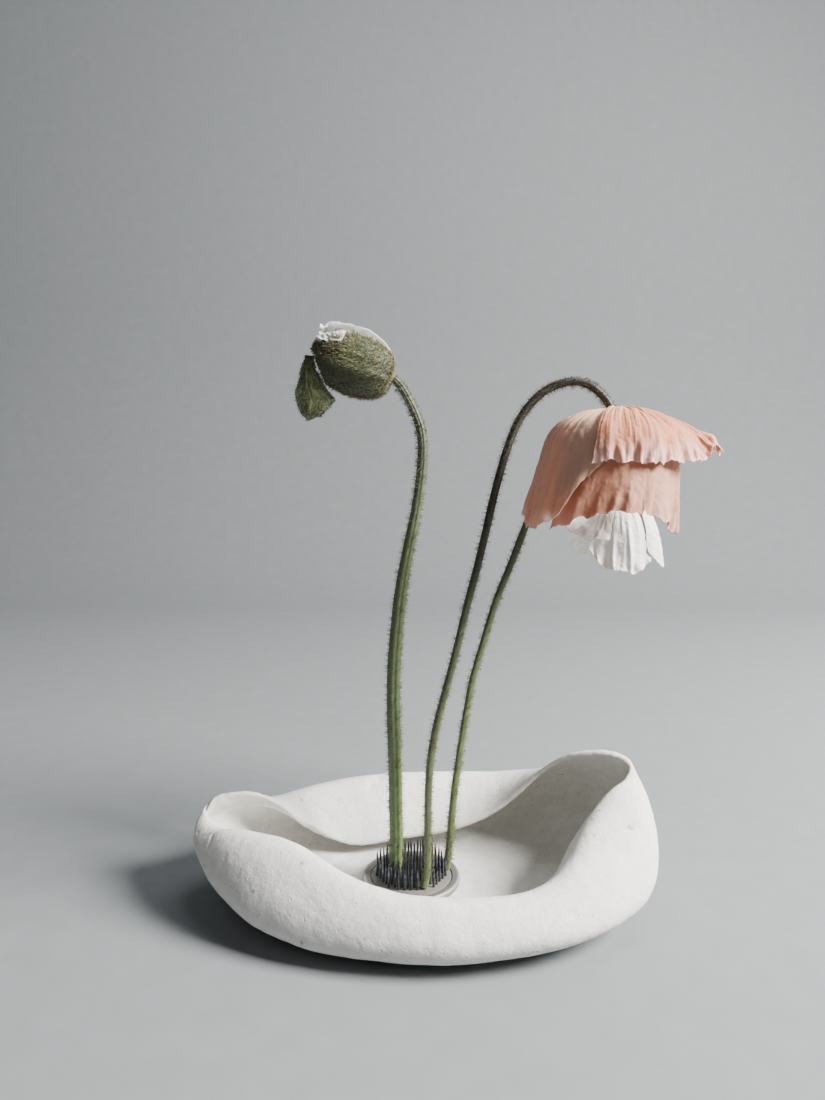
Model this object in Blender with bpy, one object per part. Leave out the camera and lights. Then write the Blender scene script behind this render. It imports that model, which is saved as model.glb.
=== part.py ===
"""Ikebana arrangement: two nodding poppies and an opening bud on a round pin holder (kenzan),
standing in a hand-folded stoneware bowl.

Lengths are millimetres; every mesh is scaled to metres as it is made. The origin is on the
table, under the middle of the pin holder. +X is to the right, +Y to the back, +Z up.
"""

from math import cos, pi, radians, sin

import bmesh
import bpy
import numpy as np

MM = 0.001
FIT_GAP = 0.3  # air between two pieces that touch

# Bowl
FOOT_CENTRE = (3.0, -6.0)
FOOT_X = 54.0
FOOT_Y = 48.0
FLOOR_Z = 7.0
BOWL_SEGMENTS = 52
BOWL_SECTION_STEPS = 14
# Wall thickness from the foot, over the crest, to the lip.
WALL_THICKNESS = (7.0, 5.4, 4.4, 4.0, 3.6, 3.0)

# Pin holder
HOLDER_RADIUS = 25.0
HOLDER_BOTTOM = FLOOR_Z + FIT_GAP
HOLDER_TOP = 11.0
RECESS_RADIUS = 21.0
RECESS_DEPTH = 1.5
BED_RADIUS = RECESS_RADIUS - FIT_GAP
BED_TOP = HOLDER_TOP + FIT_GAP
NEEDLE_PITCH = 3.2
NEEDLE_RADIUS = 0.62
NEEDLE_LENGTH = 12.0
NEEDLE_FIELD = 18.6
PIERCING_SPREAD = 1.7  # from the middle of the thick stem to the needles that it stands on

# Stems
STEM_BOTTOM = BED_TOP + FIT_GAP
STEM_SIDES = 10
CORE_SIDES = 16
BUD_STEM_RADIUS = 3.3
FLOWER_STEM_RADIUS = 1.9

PETAL_THICKNESS = 0.7
SEPAL_THICKNESS = 1.0
BASE_SHARE = 0.33  # the share of a petal's length that counts as its base

# Colour, roughness and metallic value of each material.
STONEWARE = ((0.80, 0.79, 0.75), 0.85, 0.0)
CAST_PLATE = ((0.42, 0.42, 0.41), 0.45, 0.8)
NEEDLE_METAL = ((0.16, 0.17, 0.20), 0.40, 0.9)
STEM_GREEN = ((0.36, 0.46, 0.20), 0.60, 0.0)
SEPAL_GREEN = ((0.22, 0.27, 0.12), 0.75, 0.0)
PETAL_WHITE = ((0.93, 0.92, 0.88), 0.60, 0.0)
PETAL_PINK = ((0.90, 0.66, 0.58), 0.60, 0.0)
PETAL_PEACH = ((0.88, 0.54, 0.40), 0.60, 0.0)
OVARY_GREEN = ((0.55, 0.62, 0.30), 0.60, 0.0)
STAMEN_YELLOW = ((0.90, 0.75, 0.25), 0.70, 0.0)

# The bowl, station by station round the wall, starting at the tip of the right lobe and
# going over the back. Each station has its widest point, the crest of the fold and the lip.
BOWL_STATIONS = (
    ((122, -4, 31), (120, 0, 54), (115.5, 4.5, 67)),
    ((121, 14, 32), (118, 12, 57), (108, 12, 71)),
    ((115, 32, 32), (107, 26, 56), (92, 19, 69.5)),
    ((104, 45, 31), (94, 38, 53), (79, 25, 63.5)),
    ((90, 54, 29), (81, 48, 49), (67, 29, 53)),
    ((74, 61, 27), (66, 55, 45), (54, 31, 39.5)),
    ((53, 66, 25), (47, 58, 42), (39, 31.5, 28)),
    ((25, 68, 23), (22, 58.5, 41.5), (16, 32, 19.5)),
    ((-8, 67, 22), (-8, 56, 41.8), (-5, 31, 16.5)),
    ((-38, 61, 22), (-32, 49, 42), (-24, 27, 14.5)),
    ((-60, 52, 23), (-53, 37, 42), (-39, 24, 17.5)),
    ((-79, 40, 24), (-71, 27, 41.5), (-52, 20, 27)),
    ((-92, 27, 26), (-86, 20, 43), (-63, 17, 37.5)),
    ((-101, 16, 27), (-99, 14, 42), (-76, 14, 47.2)),
    ((-106, 6, 28), (-107, 8, 42), (-91, 11, 51)),
    ((-107, -4, 27), (-110, 2, 40), (-105, 8, 47.5)),
    ((-105, -14, 26), (-109.5, -6, 36), (-107.8, 1.5, 42.8)),
    ((-99, -26, 24), (-102, -14, 38.5), (-99, -5, 39.5)),
    ((-89, -37, 22), (-90, -23, 42.5), (-84, -9, 38)),
    ((-75, -49, 20), (-74, -33, 44.5), (-67, -16, 38.5)),
    ((-54, -60, 18), (-53, -43, 43.5), (-50, -26, 36)),
    ((-28, -68, 17), (-28, -54, 37), (-27, -39, 26)),
    ((3, -73, 17), (2, -60, 32), (2, -45, 20)),
    ((34, -73, 17), (32, -59.5, 31), (31, -44, 19)),
    ((62, -68, 18), (59, -54, 32), (54, -40, 21)),
    ((86, -59, 20), (79, -41, 39), (70, -30, 30)),
    ((106, -45, 24), (94, -22, 50), (82, -16, 42)),
    ((119, -27, 28), (111.5, -8, 59.5), (104.5, -3.5, 60)),
)
LOW_BELLY_REACH = 0.62  # how far the low belly is from the foot towards the widest point
LOW_BELLY_RISE = 0.27

# Routes of the stems, from the pin holder up.
BUD_STEM_ROUTE = (
    (-8.2, 0.5, STEM_BOTTOM), (-7.9, 0.4, 40), (-8.6, 0.2, 80), (-9.0, 0, 112), (-6.8, 0, 143),
    (-3.6, 0, 168), (0.8, 0, 192), (4.3, 0, 214), (5.3, 0, 230), (3.6, 0, 241),
    (-0.8, 0, 251), (-5.0, 0, 258.2), (-8.7, 0, 261.9),
)
PINK_STEM_ROUTE = (
    (6.3, -13.7, STEM_BOTTOM), (8.0, -13, 24), (8.3, -12, 50), (9.6, -10, 77), (15.0, -9, 104),
    (21.4, -8, 129), (26.6, -6, 151), (32.8, -5, 175), (38.2, -4, 199), (44.0, -3, 222),
    (50.4, -2, 240), (58.2, -1, 251.5), (67.3, 0, 258.2), (77.5, 0, 260.8), (86.0, 0, 258.6),
    (92.6, 0, 253.0), (96.2, 0, 247.9),
)
WHITE_STEM_ROUTE = (
    (18.4, 5.2, STEM_BOTTOM), (20.6, 5.4, 33), (22.4, 8, 53), (25.4, 12, 73), (28.9, 16, 92),
    (32.9, 20, 111), (38.9, 24, 130.6), (45.2, 28, 150), (53.7, 32, 170), (60.9, 35, 188.6),
    (69.3, 38, 206), (78.7, 40, 218), (89.3, 41.5, 224.5), (100.2, 43.5, 222.5),
    (108.8, 45.3, 213.3), (113.3, 46, 200.8),
)


class Bloom:
    """A frame for petals: an origin at the receptacle, an axis that they open along, and the
    meridian that they follow, as (radius, depth along the axis) pairs.

    Azimuth 0 is the direction of `zero`, and azimuth 90 is axis x zero.
    """

    def __init__(self, origin, axis, zero, meridian):
        self.origin = np.array(origin, float)
        self.axis = np.array(axis, float) / np.linalg.norm(axis)
        across = np.array(zero, float) - self.axis * np.dot(zero, self.axis)
        self.across = across / np.linalg.norm(across)
        self.side = np.cross(self.axis, self.across)
        self.meridian = spline(meridian, 60)
        steps = np.linalg.norm(np.diff(self.meridian, axis=0), axis=1)
        self.travel = np.concatenate(([0], np.cumsum(steps)))
        self.slope = np.gradient(self.meridian, self.travel, axis=0)

    def at(self, travel, azimuth, layer=0.0, flare=0.0):
        """The point that far along the meridian, `layer` outside it and spread by `flare`."""
        radius, depth = (np.interp(travel, self.travel, self.meridian[:, k]) for k in (0, 1))
        d_radius, d_depth = (np.interp(travel, self.travel, self.slope[:, k]) for k in (0, 1))
        radius += layer * d_depth + flare
        depth += -layer * d_radius - 0.35 * flare
        return self.place(radius, depth, radians(azimuth))

    def place(self, radius, depth, turn):
        """The point at that radius, depth and turn round the axis."""
        around = cos(turn) * self.across + sin(turn) * self.side
        return self.origin + radius * around + depth * self.axis

    def turned(self, profile, sides):
        """Rings turned round the axis from (radius, depth) pairs."""
        turns = [2 * pi * k / sides for k in range(sides)]
        return [[self.place(radius, depth, turn) for turn in turns] for radius, depth in profile]


def spline(points, count, closed=False):
    """Evenly stepped samples of the smooth cubic curve through the points."""
    knots = np.asarray(points, float)
    shape = knots.shape
    knots = knots.reshape(len(knots), -1)
    n = len(knots)
    system = 4 * np.eye(n) + np.roll(np.eye(n), 1, 0) + np.roll(np.eye(n), -1, 0)
    bend = 6 * (np.roll(knots, -1, 0) - 2 * knots + np.roll(knots, 1, 0))
    if not closed:
        for end in (0, n - 1):
            system[end] = np.eye(n)[end]
            bend[end] = 0
    bend = np.linalg.solve(system, bend)
    spans = n if closed else n - 1
    position = np.linspace(0, spans, count, endpoint=not closed)
    start = np.minimum(position.astype(int), spans - 1)
    after = (start + 1) % n
    f = (position - start)[:, None]
    g = 1 - f
    curve = g * knots[start] + f * knots[after]
    curve += ((g**3 - g) * bend[start] + (f**3 - f) * bend[after]) / 6
    return curve.reshape(count, *shape[1:])


def make_material(name, look):
    colour, roughness, metallic = look
    material = bpy.data.materials.get(name) or bpy.data.materials.new(name)
    material.use_nodes = True
    shader = material.node_tree.nodes["Principled BSDF"]
    shader.inputs["Base Color"].default_value = (*colour, 1.0)
    shader.inputs["Roughness"].default_value = roughness
    shader.inputs["Metallic"].default_value = metallic
    return material


def add_object(name, points, faces, look):
    """A smooth-shaded object whose faces point outwards, from points in millimetres."""
    mesh = bpy.data.meshes.new(name)
    mesh.from_pydata([tuple(float(c) * MM for c in p) for p in points], [], faces)
    shell = bmesh.new()
    shell.from_mesh(mesh)
    bmesh.ops.recalc_face_normals(shell, faces=shell.faces)
    shell.to_mesh(mesh)
    shell.free()
    mesh.shade_smooth()
    mesh.set_sharp_from_angle(angle=radians(50))
    mesh.materials.append(make_material(name, look))
    thing = bpy.data.objects.new(name, mesh)
    bpy.context.collection.objects.link(thing)
    return thing


def add_skin(name, rings, look):
    """A closed body skinned over rings of equal length, with a flat cap on each end."""
    count = len(rings[0])
    points = [point for ring in rings for point in ring]
    faces = []
    for row in range(len(rings) - 1):
        for k in range(count):
            low = row * count
            after = (k + 1) % count
            faces.append((low + k, low + after, low + count + after, low + count + k))
    last = (len(rings) - 1) * count
    faces.append(tuple(range(count))[::-1])
    faces.append(tuple(range(last, last + count)))
    return add_object(name, points, faces, look)


def add_sheet(name, grid, thickness, look):
    """A thin sheet of even thickness, centred on a grid of points."""
    rows, columns = grid.shape[:2]
    faces = []
    for row in range(rows - 1):
        for column in range(columns - 1):
            k = row * columns + column
            faces.append((k, k + 1, k + columns + 1, k + columns))
    sheet = add_object(name, grid.reshape(-1, 3), faces, look)
    solidify = sheet.modifiers.new("Thickness", "SOLIDIFY")
    solidify.thickness = thickness * MM
    solidify.offset = 0
    return sheet


def add_turned(name, profile, centre, look, sides=32):
    """A body turned round a vertical axis from (radius, height) pairs, bottom to top."""
    rings = []
    for radius, height in profile:
        angles = (2 * pi * k / sides for k in range(sides))
        rings.append([(centre[0] + radius * cos(a), centre[1] + radius * sin(a), height)
                      for a in angles])
    return add_skin(name, rings, look)


def add_boolean(target, other, operation):
    boolean = target.modifiers.new(operation.title(), "BOOLEAN")
    boolean.operation = operation
    boolean.object = other
    boolean.solver = "EXACT"


def hide_guide(guide):
    guide.hide_render = True
    guide.display_type = "WIRE"


def build_bowl():
    """The folded bowl: an outer surface lofted through the stations, and a wall inside it."""
    rings = [[] for _ in range(5)]
    for belly, crest, lip in BOWL_STATIONS:
        reach_x, reach_y = (belly[k] - FOOT_CENTRE[k] for k in (0, 1))
        turn = np.arctan2(reach_y / FOOT_Y, reach_x / FOOT_X)
        foot = np.array((FOOT_CENTRE[0] + FOOT_X * cos(turn),
                         FOOT_CENTRE[1] + FOOT_Y * sin(turn), 0.0))
        reach = np.array((LOW_BELLY_REACH, LOW_BELLY_REACH, LOW_BELLY_RISE))
        low_belly = foot + (np.array(belly) - foot) * reach
        for ring, point in zip(rings, (foot, low_belly, belly, crest, lip)):
            ring.append(point)
    stations = spline(np.swapaxes(np.array(rings, float), 0, 1), BOWL_SEGMENTS, closed=True)
    outer = spline(np.swapaxes(stations, 0, 1), BOWL_SECTION_STEPS)

    along = np.gradient(outer, axis=0)
    around = (np.roll(outer, -1, 1) - np.roll(outer, 1, 1)) / 2
    normal = np.cross(around, along)
    normal /= np.linalg.norm(normal, axis=2)[:, :, None]
    share = np.linspace(0, 1, BOWL_SECTION_STEPS)
    thickness = np.interp(share, np.linspace(0, 1, len(WALL_THICKNESS)), WALL_THICKNESS)
    inner = outer - normal * thickness[:, None, None]
    inner[0, :, 2] = FLOOR_Z
    inner[1:, :, 2] = np.maximum(inner[1:, :, 2], FLOOR_Z + 0.05)

    tangent = along[-1] / np.linalg.norm(along[-1], axis=1)[:, None]
    lip_bulge = (outer[-1] + inner[-1]) / 2 + tangent * thickness[-1] * 0.4
    rings = list(outer) + [lip_bulge] + list(inner[::-1])
    add_skin("bowl", rings, STONEWARE)


def stem_feet():
    """Where each stem stands on the pin holder, and its radius there."""
    yield BUD_STEM_ROUTE[0], BUD_STEM_RADIUS
    yield PINK_STEM_ROUTE[0], FLOWER_STEM_RADIUS
    yield WHITE_STEM_ROUTE[0], FLOWER_STEM_RADIUS


def needle_places():
    """Needle positions: a hexagonal field that leaves room round the stems, and the needles
    that the stems are pushed down on."""
    row_pitch = NEEDLE_PITCH * sin(pi / 3)
    rows = int(NEEDLE_FIELD / row_pitch)
    reach = int(NEEDLE_FIELD / NEEDLE_PITCH) + 1
    free, piercing = [], []
    for row in range(-rows, rows + 1):
        for column in range(-reach, reach + 1):
            x = (column + (row % 2) / 2) * NEEDLE_PITCH
            y = row * row_pitch
            if np.hypot(x, y) > NEEDLE_FIELD:
                continue
            clearances = (np.hypot(x - foot[0], y - foot[1]) - radius
                          for foot, radius in stem_feet())
            if min(clearances) > NEEDLE_RADIUS + FIT_GAP:
                free.append((x, y))
    for foot, radius in stem_feet():
        thick = radius == BUD_STEM_RADIUS
        spread = PIERCING_SPREAD if thick else 0
        for k in range(3 if thick else 1):
            turn = radians(90 + 120 * k)
            piercing.append((foot[0] + spread * cos(turn), foot[1] + spread * sin(turn)))
    return free, piercing


def add_spikes(name, places, bottom, extra):
    """A group of four-sided spikes, each `extra` wider and taller than a needle."""
    points, faces = [], []
    for x, y in places:
        base = len(points)
        for k in range(4):
            turn = pi / 4 + k * pi / 2
            reach = NEEDLE_RADIUS + extra
            points.append((x + reach * cos(turn), y + reach * sin(turn), bottom))
        points.append((x, y, BED_TOP + NEEDLE_LENGTH + 2 * extra))
        faces.append(tuple(base + k for k in (3, 2, 1, 0)))
        for k in range(4):
            faces.append((base + k, base + (k + 1) % 4, base + 4))
    spikes = add_object(name, points, faces, NEEDLE_METAL)
    hide_guide(spikes)
    return spikes


def build_holder():
    """The weighted plate, and the bed of needles that lies in its recess."""
    recess_floor = HOLDER_TOP - RECESS_DEPTH
    plate = (
        (HOLDER_RADIUS - 1.2, HOLDER_BOTTOM), (HOLDER_RADIUS, HOLDER_BOTTOM + 1.0),
        (HOLDER_RADIUS, HOLDER_TOP - 0.9), (HOLDER_RADIUS - 1.0, HOLDER_TOP),
        (RECESS_RADIUS, HOLDER_TOP), (RECESS_RADIUS, recess_floor),
    )
    add_turned("kenzan_base", plate, (0, 0), CAST_PLATE, sides=48)

    free, piercing = needle_places()
    bed = add_turned("kenzan_needles", ((BED_RADIUS, recess_floor + FIT_GAP), (BED_RADIUS, BED_TOP)),
                     (0, 0), NEEDLE_METAL, sides=48)
    pins = add_spikes("needle_pins", free + piercing, BED_TOP - 0.5, 0)
    add_boolean(bed, pins, "UNION")
    return add_spikes("needle_bores", piercing, STEM_BOTTOM - 1.0, FIT_GAP)


def tube_rings(route, steps, radii, sides):
    """Rings round a smooth route, turned as little as possible from each to the next."""
    line = spline(route, steps)
    tangents = np.gradient(line, axis=0)
    tangents /= np.linalg.norm(tangents, axis=1)[:, None]
    tangents[0] = (0, 0, 1)
    side = np.array((1.0, 0, 0))
    rings = []
    for k, (centre, tangent) in enumerate(zip(line, tangents)):
        side = side - tangent * np.dot(side, tangent)
        side /= np.linalg.norm(side)
        other = np.cross(tangent, side)
        radius = np.interp(k / (steps - 1), np.linspace(0, 1, len(radii)), radii)
        rings.append([centre + radius * (cos(a) * side + sin(a) * other)
                      for a in (2 * pi * j / sides for j in range(sides))])
    return rings


def build_stems(bores):
    """The three stems, each pushed down on the needles below it."""
    bud_radii = [BUD_STEM_RADIUS * share for share in (1, 1, 1, 0.98, 0.9, 0.74, 0.62, 0.56)]
    flower_radii = [FLOWER_STEM_RADIUS * share for share in (1, 0.97, 0.97, 1, 1.02)]
    for name, route, steps, radii in (
        ("bud_stem", BUD_STEM_ROUTE, 26, bud_radii),
        ("pink_stem", PINK_STEM_ROUTE, 34, flower_radii),
        ("white_stem", WHITE_STEM_ROUTE, 32, flower_radii),
    ):
        stem = add_skin(name, tube_rings(route, steps, radii, STEM_SIDES), STEM_GREEN)
        add_boolean(stem, bores, "DIFFERENCE")


def petal_grid(bloom, azimuths, layer, outline, rows=10, columns=13):
    """Points of a petal between two azimuths. The outline gives its length along the meridian
    and its flare at even steps from the first azimuth to the second. A petal may lie on a
    different layer at its base from the one further out."""
    base_layer, outer_layer = layer if isinstance(layer, tuple) else (layer, layer)
    lengths, flares = zip(*outline)
    stops = np.linspace(0, 1, len(outline))
    grid = np.zeros((rows, columns, 3))
    for column, u in enumerate(np.linspace(0, 1, columns)):
        azimuth = azimuths[0] + u * (azimuths[1] - azimuths[0])
        length = np.interp(u, stops, lengths)
        flare = np.interp(u, stops, flares)
        for row, v in enumerate(np.linspace(0, 1, rows)):
            here = base_layer + (outer_layer - base_layer) * min(1, v / BASE_SHARE)
            grid[row, column] = bloom.at(v * length, azimuth, here, flare * v**3)
    return grid


def build_core(prefix, bloom, ovary_radius, ovary_length, stamen_reach):
    """What the petals hide: receptacle, ovary, stigma and the ring of stamens."""
    r, length = ovary_radius, ovary_length
    for part, profile, look in (
        ("receptacle", ((2.0, -0.6), (3.0, 0), (3.0, 1.6), (2.2, 2.2)), OVARY_GREEN),
        ("ovary", ((1.6, 2.5), (0.5 * r, 0.4 * length), (r, 0.7 * length), (0.9 * r, length)),
         OVARY_GREEN),
        ("stigma", ((0.9 * r, length + FIT_GAP), (1.1 * r, length + 0.9),
                    (0.4 * r, length + 1.8)), STAMEN_YELLOW),
    ):
        add_skin(f"{prefix}_{part}", bloom.turned(profile, CORE_SIDES), look)
    inside = r + 0.8
    ring = (
        (inside, 0.5 * length), (inside + 1.2, 0.5 * length), (stamen_reach, length - 1),
        (stamen_reach, length + 2), (inside + 1.4, length + 2), (inside, length - 1),
    )
    add_turned_ring(f"{prefix}_stamens", bloom, ring, 24)


def add_turned_ring(name, bloom, outline, sides):
    """A ring turned round the bloom's axis from a closed (radius, depth) outline."""
    rings = bloom.turned(outline, sides)
    points = [point for ring in rings for point in ring]
    faces = []
    for j in range(len(outline)):
        here, after = j * sides, (j + 1) % len(outline) * sides
        for k in range(sides):
            right = (k + 1) % sides
            faces.append((here + k, here + right, after + right, after + k))
    add_object(name, points, faces, STAMEN_YELLOW)


def build_petals(prefix, bloom, petals, thickness):
    for part, azimuths, layer, outline, look in petals:
        add_sheet(f"{prefix}_{part}", petal_grid(bloom, azimuths, layer, outline), thickness, look)


def build_pink_flower():
    """The large nodding flower. Azimuth 0 is right, 90 front, 180 left and 270 back."""
    bloom = Bloom(
        (98.6, 0, 245.6), (-0.06, -0.04, -1), (1, 0, 0),
        ((3.8, 1.4), (8, -0.4), (14, -0.2), (20, 2), (26, 5.5), (31, 11.5), (33.5, 20),
         (35.5, 31), (38, 45), (39.5, 58)),
    )
    petals = (
        ("petal_top", (-44, 117), 1.4,
         ((40, 2), (43, 8), (42, 15), (43.5, 6), (44.5, 1), (45, 0), (47, 0)), PETAL_PINK),
        ("petal_front", (6, 142), (-2.2, -1.5),
         ((62, -4.6), (72, -6.6), (70, -3.6), (68.5, 0), (66, 0.2), (70.5, 0.3), (78, 0.2)),
         PETAL_PEACH),
        ("petal_left", (106, 236), 0,
         ((52, 0.3), (53, 0.4), (66, 2.2), (78.5, 3.2), (79, 3.2), (77, 3.2), (76, 3.1),
          (72, 3), (68, 2.6), (64, 2.6), (60, 2.6)), PETAL_PEACH),
        ("petal_back", (190, 366), -3.0,
         ((58, 0), (62, 1), (62, 1), (62, 0), (62, -6)), PETAL_PINK),
    )
    build_petals("pink", bloom, petals, PETAL_THICKNESS)
    build_core("pink", bloom, 5.0, 15.0, 11.0)


def build_white_flower():
    """The smaller flower that hangs behind. Azimuths run as on the pink one."""
    bloom = Bloom(
        (113.8, 46, 198.4), (0.03, -0.06, -1), (1, 0, 0),
        ((4.6, 1.6), (7.4, 0.6), (11.5, 2), (15, 6.5), (17.5, 14), (18.8, 23), (19, 33), (19, 42)),
    )
    petals = (
        ("petal_left", (118, 196), 1.4,
         ((27, 6), (28, 11), (21, 14), (19, 12)), PETAL_WHITE),
        ("petal_centre", (52, 150), -0.2,
         ((36, 0), (42, 0), (42, 1), (40, 3), (32, 5)), PETAL_WHITE),
        ("petal_right", (-50, 60), 1.2,
         ((32, 0), (38, 0), (41, 1), (32, 0)), PETAL_WHITE),
        ("petal_back", (182, 318), -1.6,
         ((31, 9), (37, 8), (38, 2), (36, 0)), PETAL_WHITE),
    )
    build_petals("white", bloom, petals, PETAL_THICKNESS)
    build_core("white", bloom, 3.2, 10.0, 7.0)


def build_loose_sepal():
    """The valve that has dropped open: a curled, boat-shaped leaf hanging beside the bud."""
    # Height, left edge, right edge and how far the middle bellies towards the front.
    sections = (
        (272.6, -49.4, -46.8, 0.5), (267.5, -51.8, -45.4, 1.6), (262.0, -53.2, -43.4, 3.0),
        (256.5, -54.1, -39.8, 3.8), (251.6, -54.4, -36.6, 4.0), (247.6, -53.0, -40.6, 3.0),
        (244.2, -49.6, -43.6, 1.4),
    )
    grid = []
    for height, left, right, belly in spline(sections, 11):
        u = np.linspace(-1, 1, 9)
        x = (left + right) / 2 + (right - left) / 2 * u
        grid.append(np.stack((x, -1.0 - belly * (1 - u * u), np.full(9, height)), axis=-1))
    add_sheet("bud_sepal_loose", np.array(grid), SEPAL_THICKNESS, SEPAL_GREEN)


def build_bud():
    """The opening bud. Azimuth 0 is up, 90 back, 180 down and 270 front."""
    bloom = Bloom(
        (-10.4, 0, 262.6), (-0.946, 0, 0.324), (0, 0, 1),
        ((2.4, 0), (8.1, 0.8), (11.9, 5.5), (13.5, 12), (13.5, 20), (11.5, 28), (7.4, 34),
         (3.0, 37.5)),
    )
    valve = ((34, 0), (36, 0), (41, 0), (48.5, 0), (49.5, 0), (47.5, 0))
    build_petals("bud", bloom, (
        ("sepal_clinging", (-215, -14), 0, valve, SEPAL_GREEN),
    ), SEPAL_THICKNESS)
    build_petals("bud", bloom, (
        ("petal_outer", (-7, 118), (0.2, 1.7), ((46, 6.5), (49, 6), (49, 0), (43, 0)),
         PETAL_WHITE),
        ("petal_front", (-150, -20), -2.3, ((45, 0), (50, 0), (51, 2), (48, 2)), PETAL_WHITE),
        ("petal_slit", (-236, -146), -3.7, ((41, 0), (44, 0), (46, 0)), PETAL_WHITE),
        ("petal_inner", (-11, 112), -2.3, ((42, 0), (46, 0), (42, 0)), PETAL_WHITE),
    ), PETAL_THICKNESS)
    build_loose_sepal()
    ovary = ((1.0, 6.0), (3.4, 9.0), (4.6, 13.0), (4.1, 17.0), (2.1, 19.0))
    add_skin("bud_ovary", bloom.turned(ovary, CORE_SIDES), OVARY_GREEN)


def main():
    for thing in list(bpy.data.objects):
        bpy.data.objects.remove(thing)
    build_bowl()
    bores = build_holder()
    build_stems(bores)
    build_bud()
    build_pink_flower()
    build_white_flower()


main()
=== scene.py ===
"""Looks of the ikebana arrangement: a hand-folded stoneware bowl, a pin holder, two nodding
poppies and an opening bud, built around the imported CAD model.

Lengths are millimetres; every mesh is scaled to metres as it is made. +X is to the right,
+Y to the back, +Z up, and the origin is on the table under the middle of the pin holder.
"""

from dataclasses import dataclass
from math import cos, pi, radians, sin

import bmesh
import bpy
import numpy as np
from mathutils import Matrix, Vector, noise


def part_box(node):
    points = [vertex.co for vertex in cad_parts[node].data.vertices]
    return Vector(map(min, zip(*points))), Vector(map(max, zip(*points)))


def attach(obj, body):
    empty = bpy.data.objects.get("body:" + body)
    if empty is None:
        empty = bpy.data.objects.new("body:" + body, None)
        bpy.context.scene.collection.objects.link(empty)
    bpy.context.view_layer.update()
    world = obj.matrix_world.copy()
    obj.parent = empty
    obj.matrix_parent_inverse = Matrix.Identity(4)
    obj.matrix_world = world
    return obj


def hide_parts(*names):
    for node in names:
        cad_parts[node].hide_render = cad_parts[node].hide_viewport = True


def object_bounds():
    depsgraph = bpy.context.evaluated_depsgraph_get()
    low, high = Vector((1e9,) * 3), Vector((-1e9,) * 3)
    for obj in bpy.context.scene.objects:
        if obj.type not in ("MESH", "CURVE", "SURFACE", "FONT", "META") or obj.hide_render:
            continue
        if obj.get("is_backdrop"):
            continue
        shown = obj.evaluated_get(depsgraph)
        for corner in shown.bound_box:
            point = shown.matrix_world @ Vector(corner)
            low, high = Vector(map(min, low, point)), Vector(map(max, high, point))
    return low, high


MM = 0.001

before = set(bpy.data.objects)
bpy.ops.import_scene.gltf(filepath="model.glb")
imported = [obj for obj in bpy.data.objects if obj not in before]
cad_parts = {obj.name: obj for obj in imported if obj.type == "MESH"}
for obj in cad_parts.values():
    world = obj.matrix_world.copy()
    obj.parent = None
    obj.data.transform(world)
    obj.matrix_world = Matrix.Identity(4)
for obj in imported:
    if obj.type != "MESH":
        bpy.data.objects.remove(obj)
CAD_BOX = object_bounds()

# Bowl
FOOT_CENTRE = (3.0, -6.0)
FOOT_X = 54.0
FOOT_Y = 48.0
FLOOR_Z = 7.0
BOWL_SEGMENTS = 416
BOWL_SECTION_STEPS = 66
LIP_STEPS = 6
FLOOR_RINGS = 16
WALL_THICKNESS = (7.0, 5.4, 4.4, 4.0, 3.6, 3.0)
LOW_BELLY_REACH = 0.62  # share of the way out from the foot to the belly
LOW_BELLY_RISE = 0.27  # share of the way up
FLOOR_BLEND = 1.2  # how gently the wall runs into the floor
FLOOR_BAND = 2.5  # what lies this close to the floor's height counts as floor
INSIDE_SMOOTHING = 14
OUTSIDE_SMOOTHING = 4
LIP_BULGE = 0.45  # of the wall's thickness
LIP_ROWS = 5  # rows of the lip that look rubbed
WATER_MARK_RADIUS = 43.0

# The bowl's stations round the wall: widest point, crest of the fold, lip.
BOWL_STATIONS = (
    ((122, -4, 31), (120, 0, 54), (115.5, 4.5, 67)),
    ((121, 14, 32), (118, 12, 57), (108, 12, 71)),
    ((115, 32, 32), (107, 26, 56), (92, 19, 69.5)),
    ((104, 45, 31), (94, 38, 53), (79, 25, 63.5)),
    ((90, 54, 29), (81, 48, 49), (67, 29, 53)),
    ((74, 61, 27), (66, 55, 45), (54, 31, 39.5)),
    ((53, 66, 25), (47, 58, 42), (39, 31.5, 28)),
    ((25, 68, 23), (22, 58.5, 41.5), (16, 32, 19.5)),
    ((-8, 67, 22), (-8, 56, 41.8), (-5, 31, 16.5)),
    ((-38, 61, 22), (-32, 49, 42), (-24, 27, 14.5)),
    ((-60, 52, 23), (-53, 37, 42), (-39, 24, 17.5)),
    ((-79, 40, 24), (-71, 27, 41.5), (-52, 20, 27)),
    ((-92, 27, 26), (-86, 20, 43), (-63, 17, 37.5)),
    ((-101, 16, 27), (-99, 14, 42), (-76, 14, 47.2)),
    ((-106, 6, 28), (-107, 8, 42), (-91, 11, 51)),
    ((-107, -4, 27), (-110, 2, 40), (-105, 8, 47.5)),
    ((-105, -14, 26), (-109.5, -6, 36), (-107.8, 1.5, 42.8)),
    ((-99, -26, 24), (-102, -14, 38.5), (-99, -5, 39.5)),
    ((-89, -37, 22), (-90, -23, 42.5), (-84, -9, 38)),
    ((-75, -49, 20), (-74, -33, 44.5), (-67, -16, 38.5)),
    ((-54, -60, 18), (-53, -43, 43.5), (-50, -26, 36)),
    ((-28, -68, 17), (-28, -54, 37), (-27, -39, 26)),
    ((3, -73, 17), (2, -60, 32), (2, -45, 20)),
    ((34, -73, 17), (32, -59.5, 31), (31, -44, 19)),
    ((62, -68, 18), (59, -54, 32), (54, -40, 21)),
    ((86, -59, 20), (79, -41, 39), (70, -30, 30)),
    ((106, -45, 24), (94, -22, 50), (82, -16, 42)),
    ((119, -27, 28), (111.5, -8, 59.5), (104.5, -3.5, 60)),
)

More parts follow.
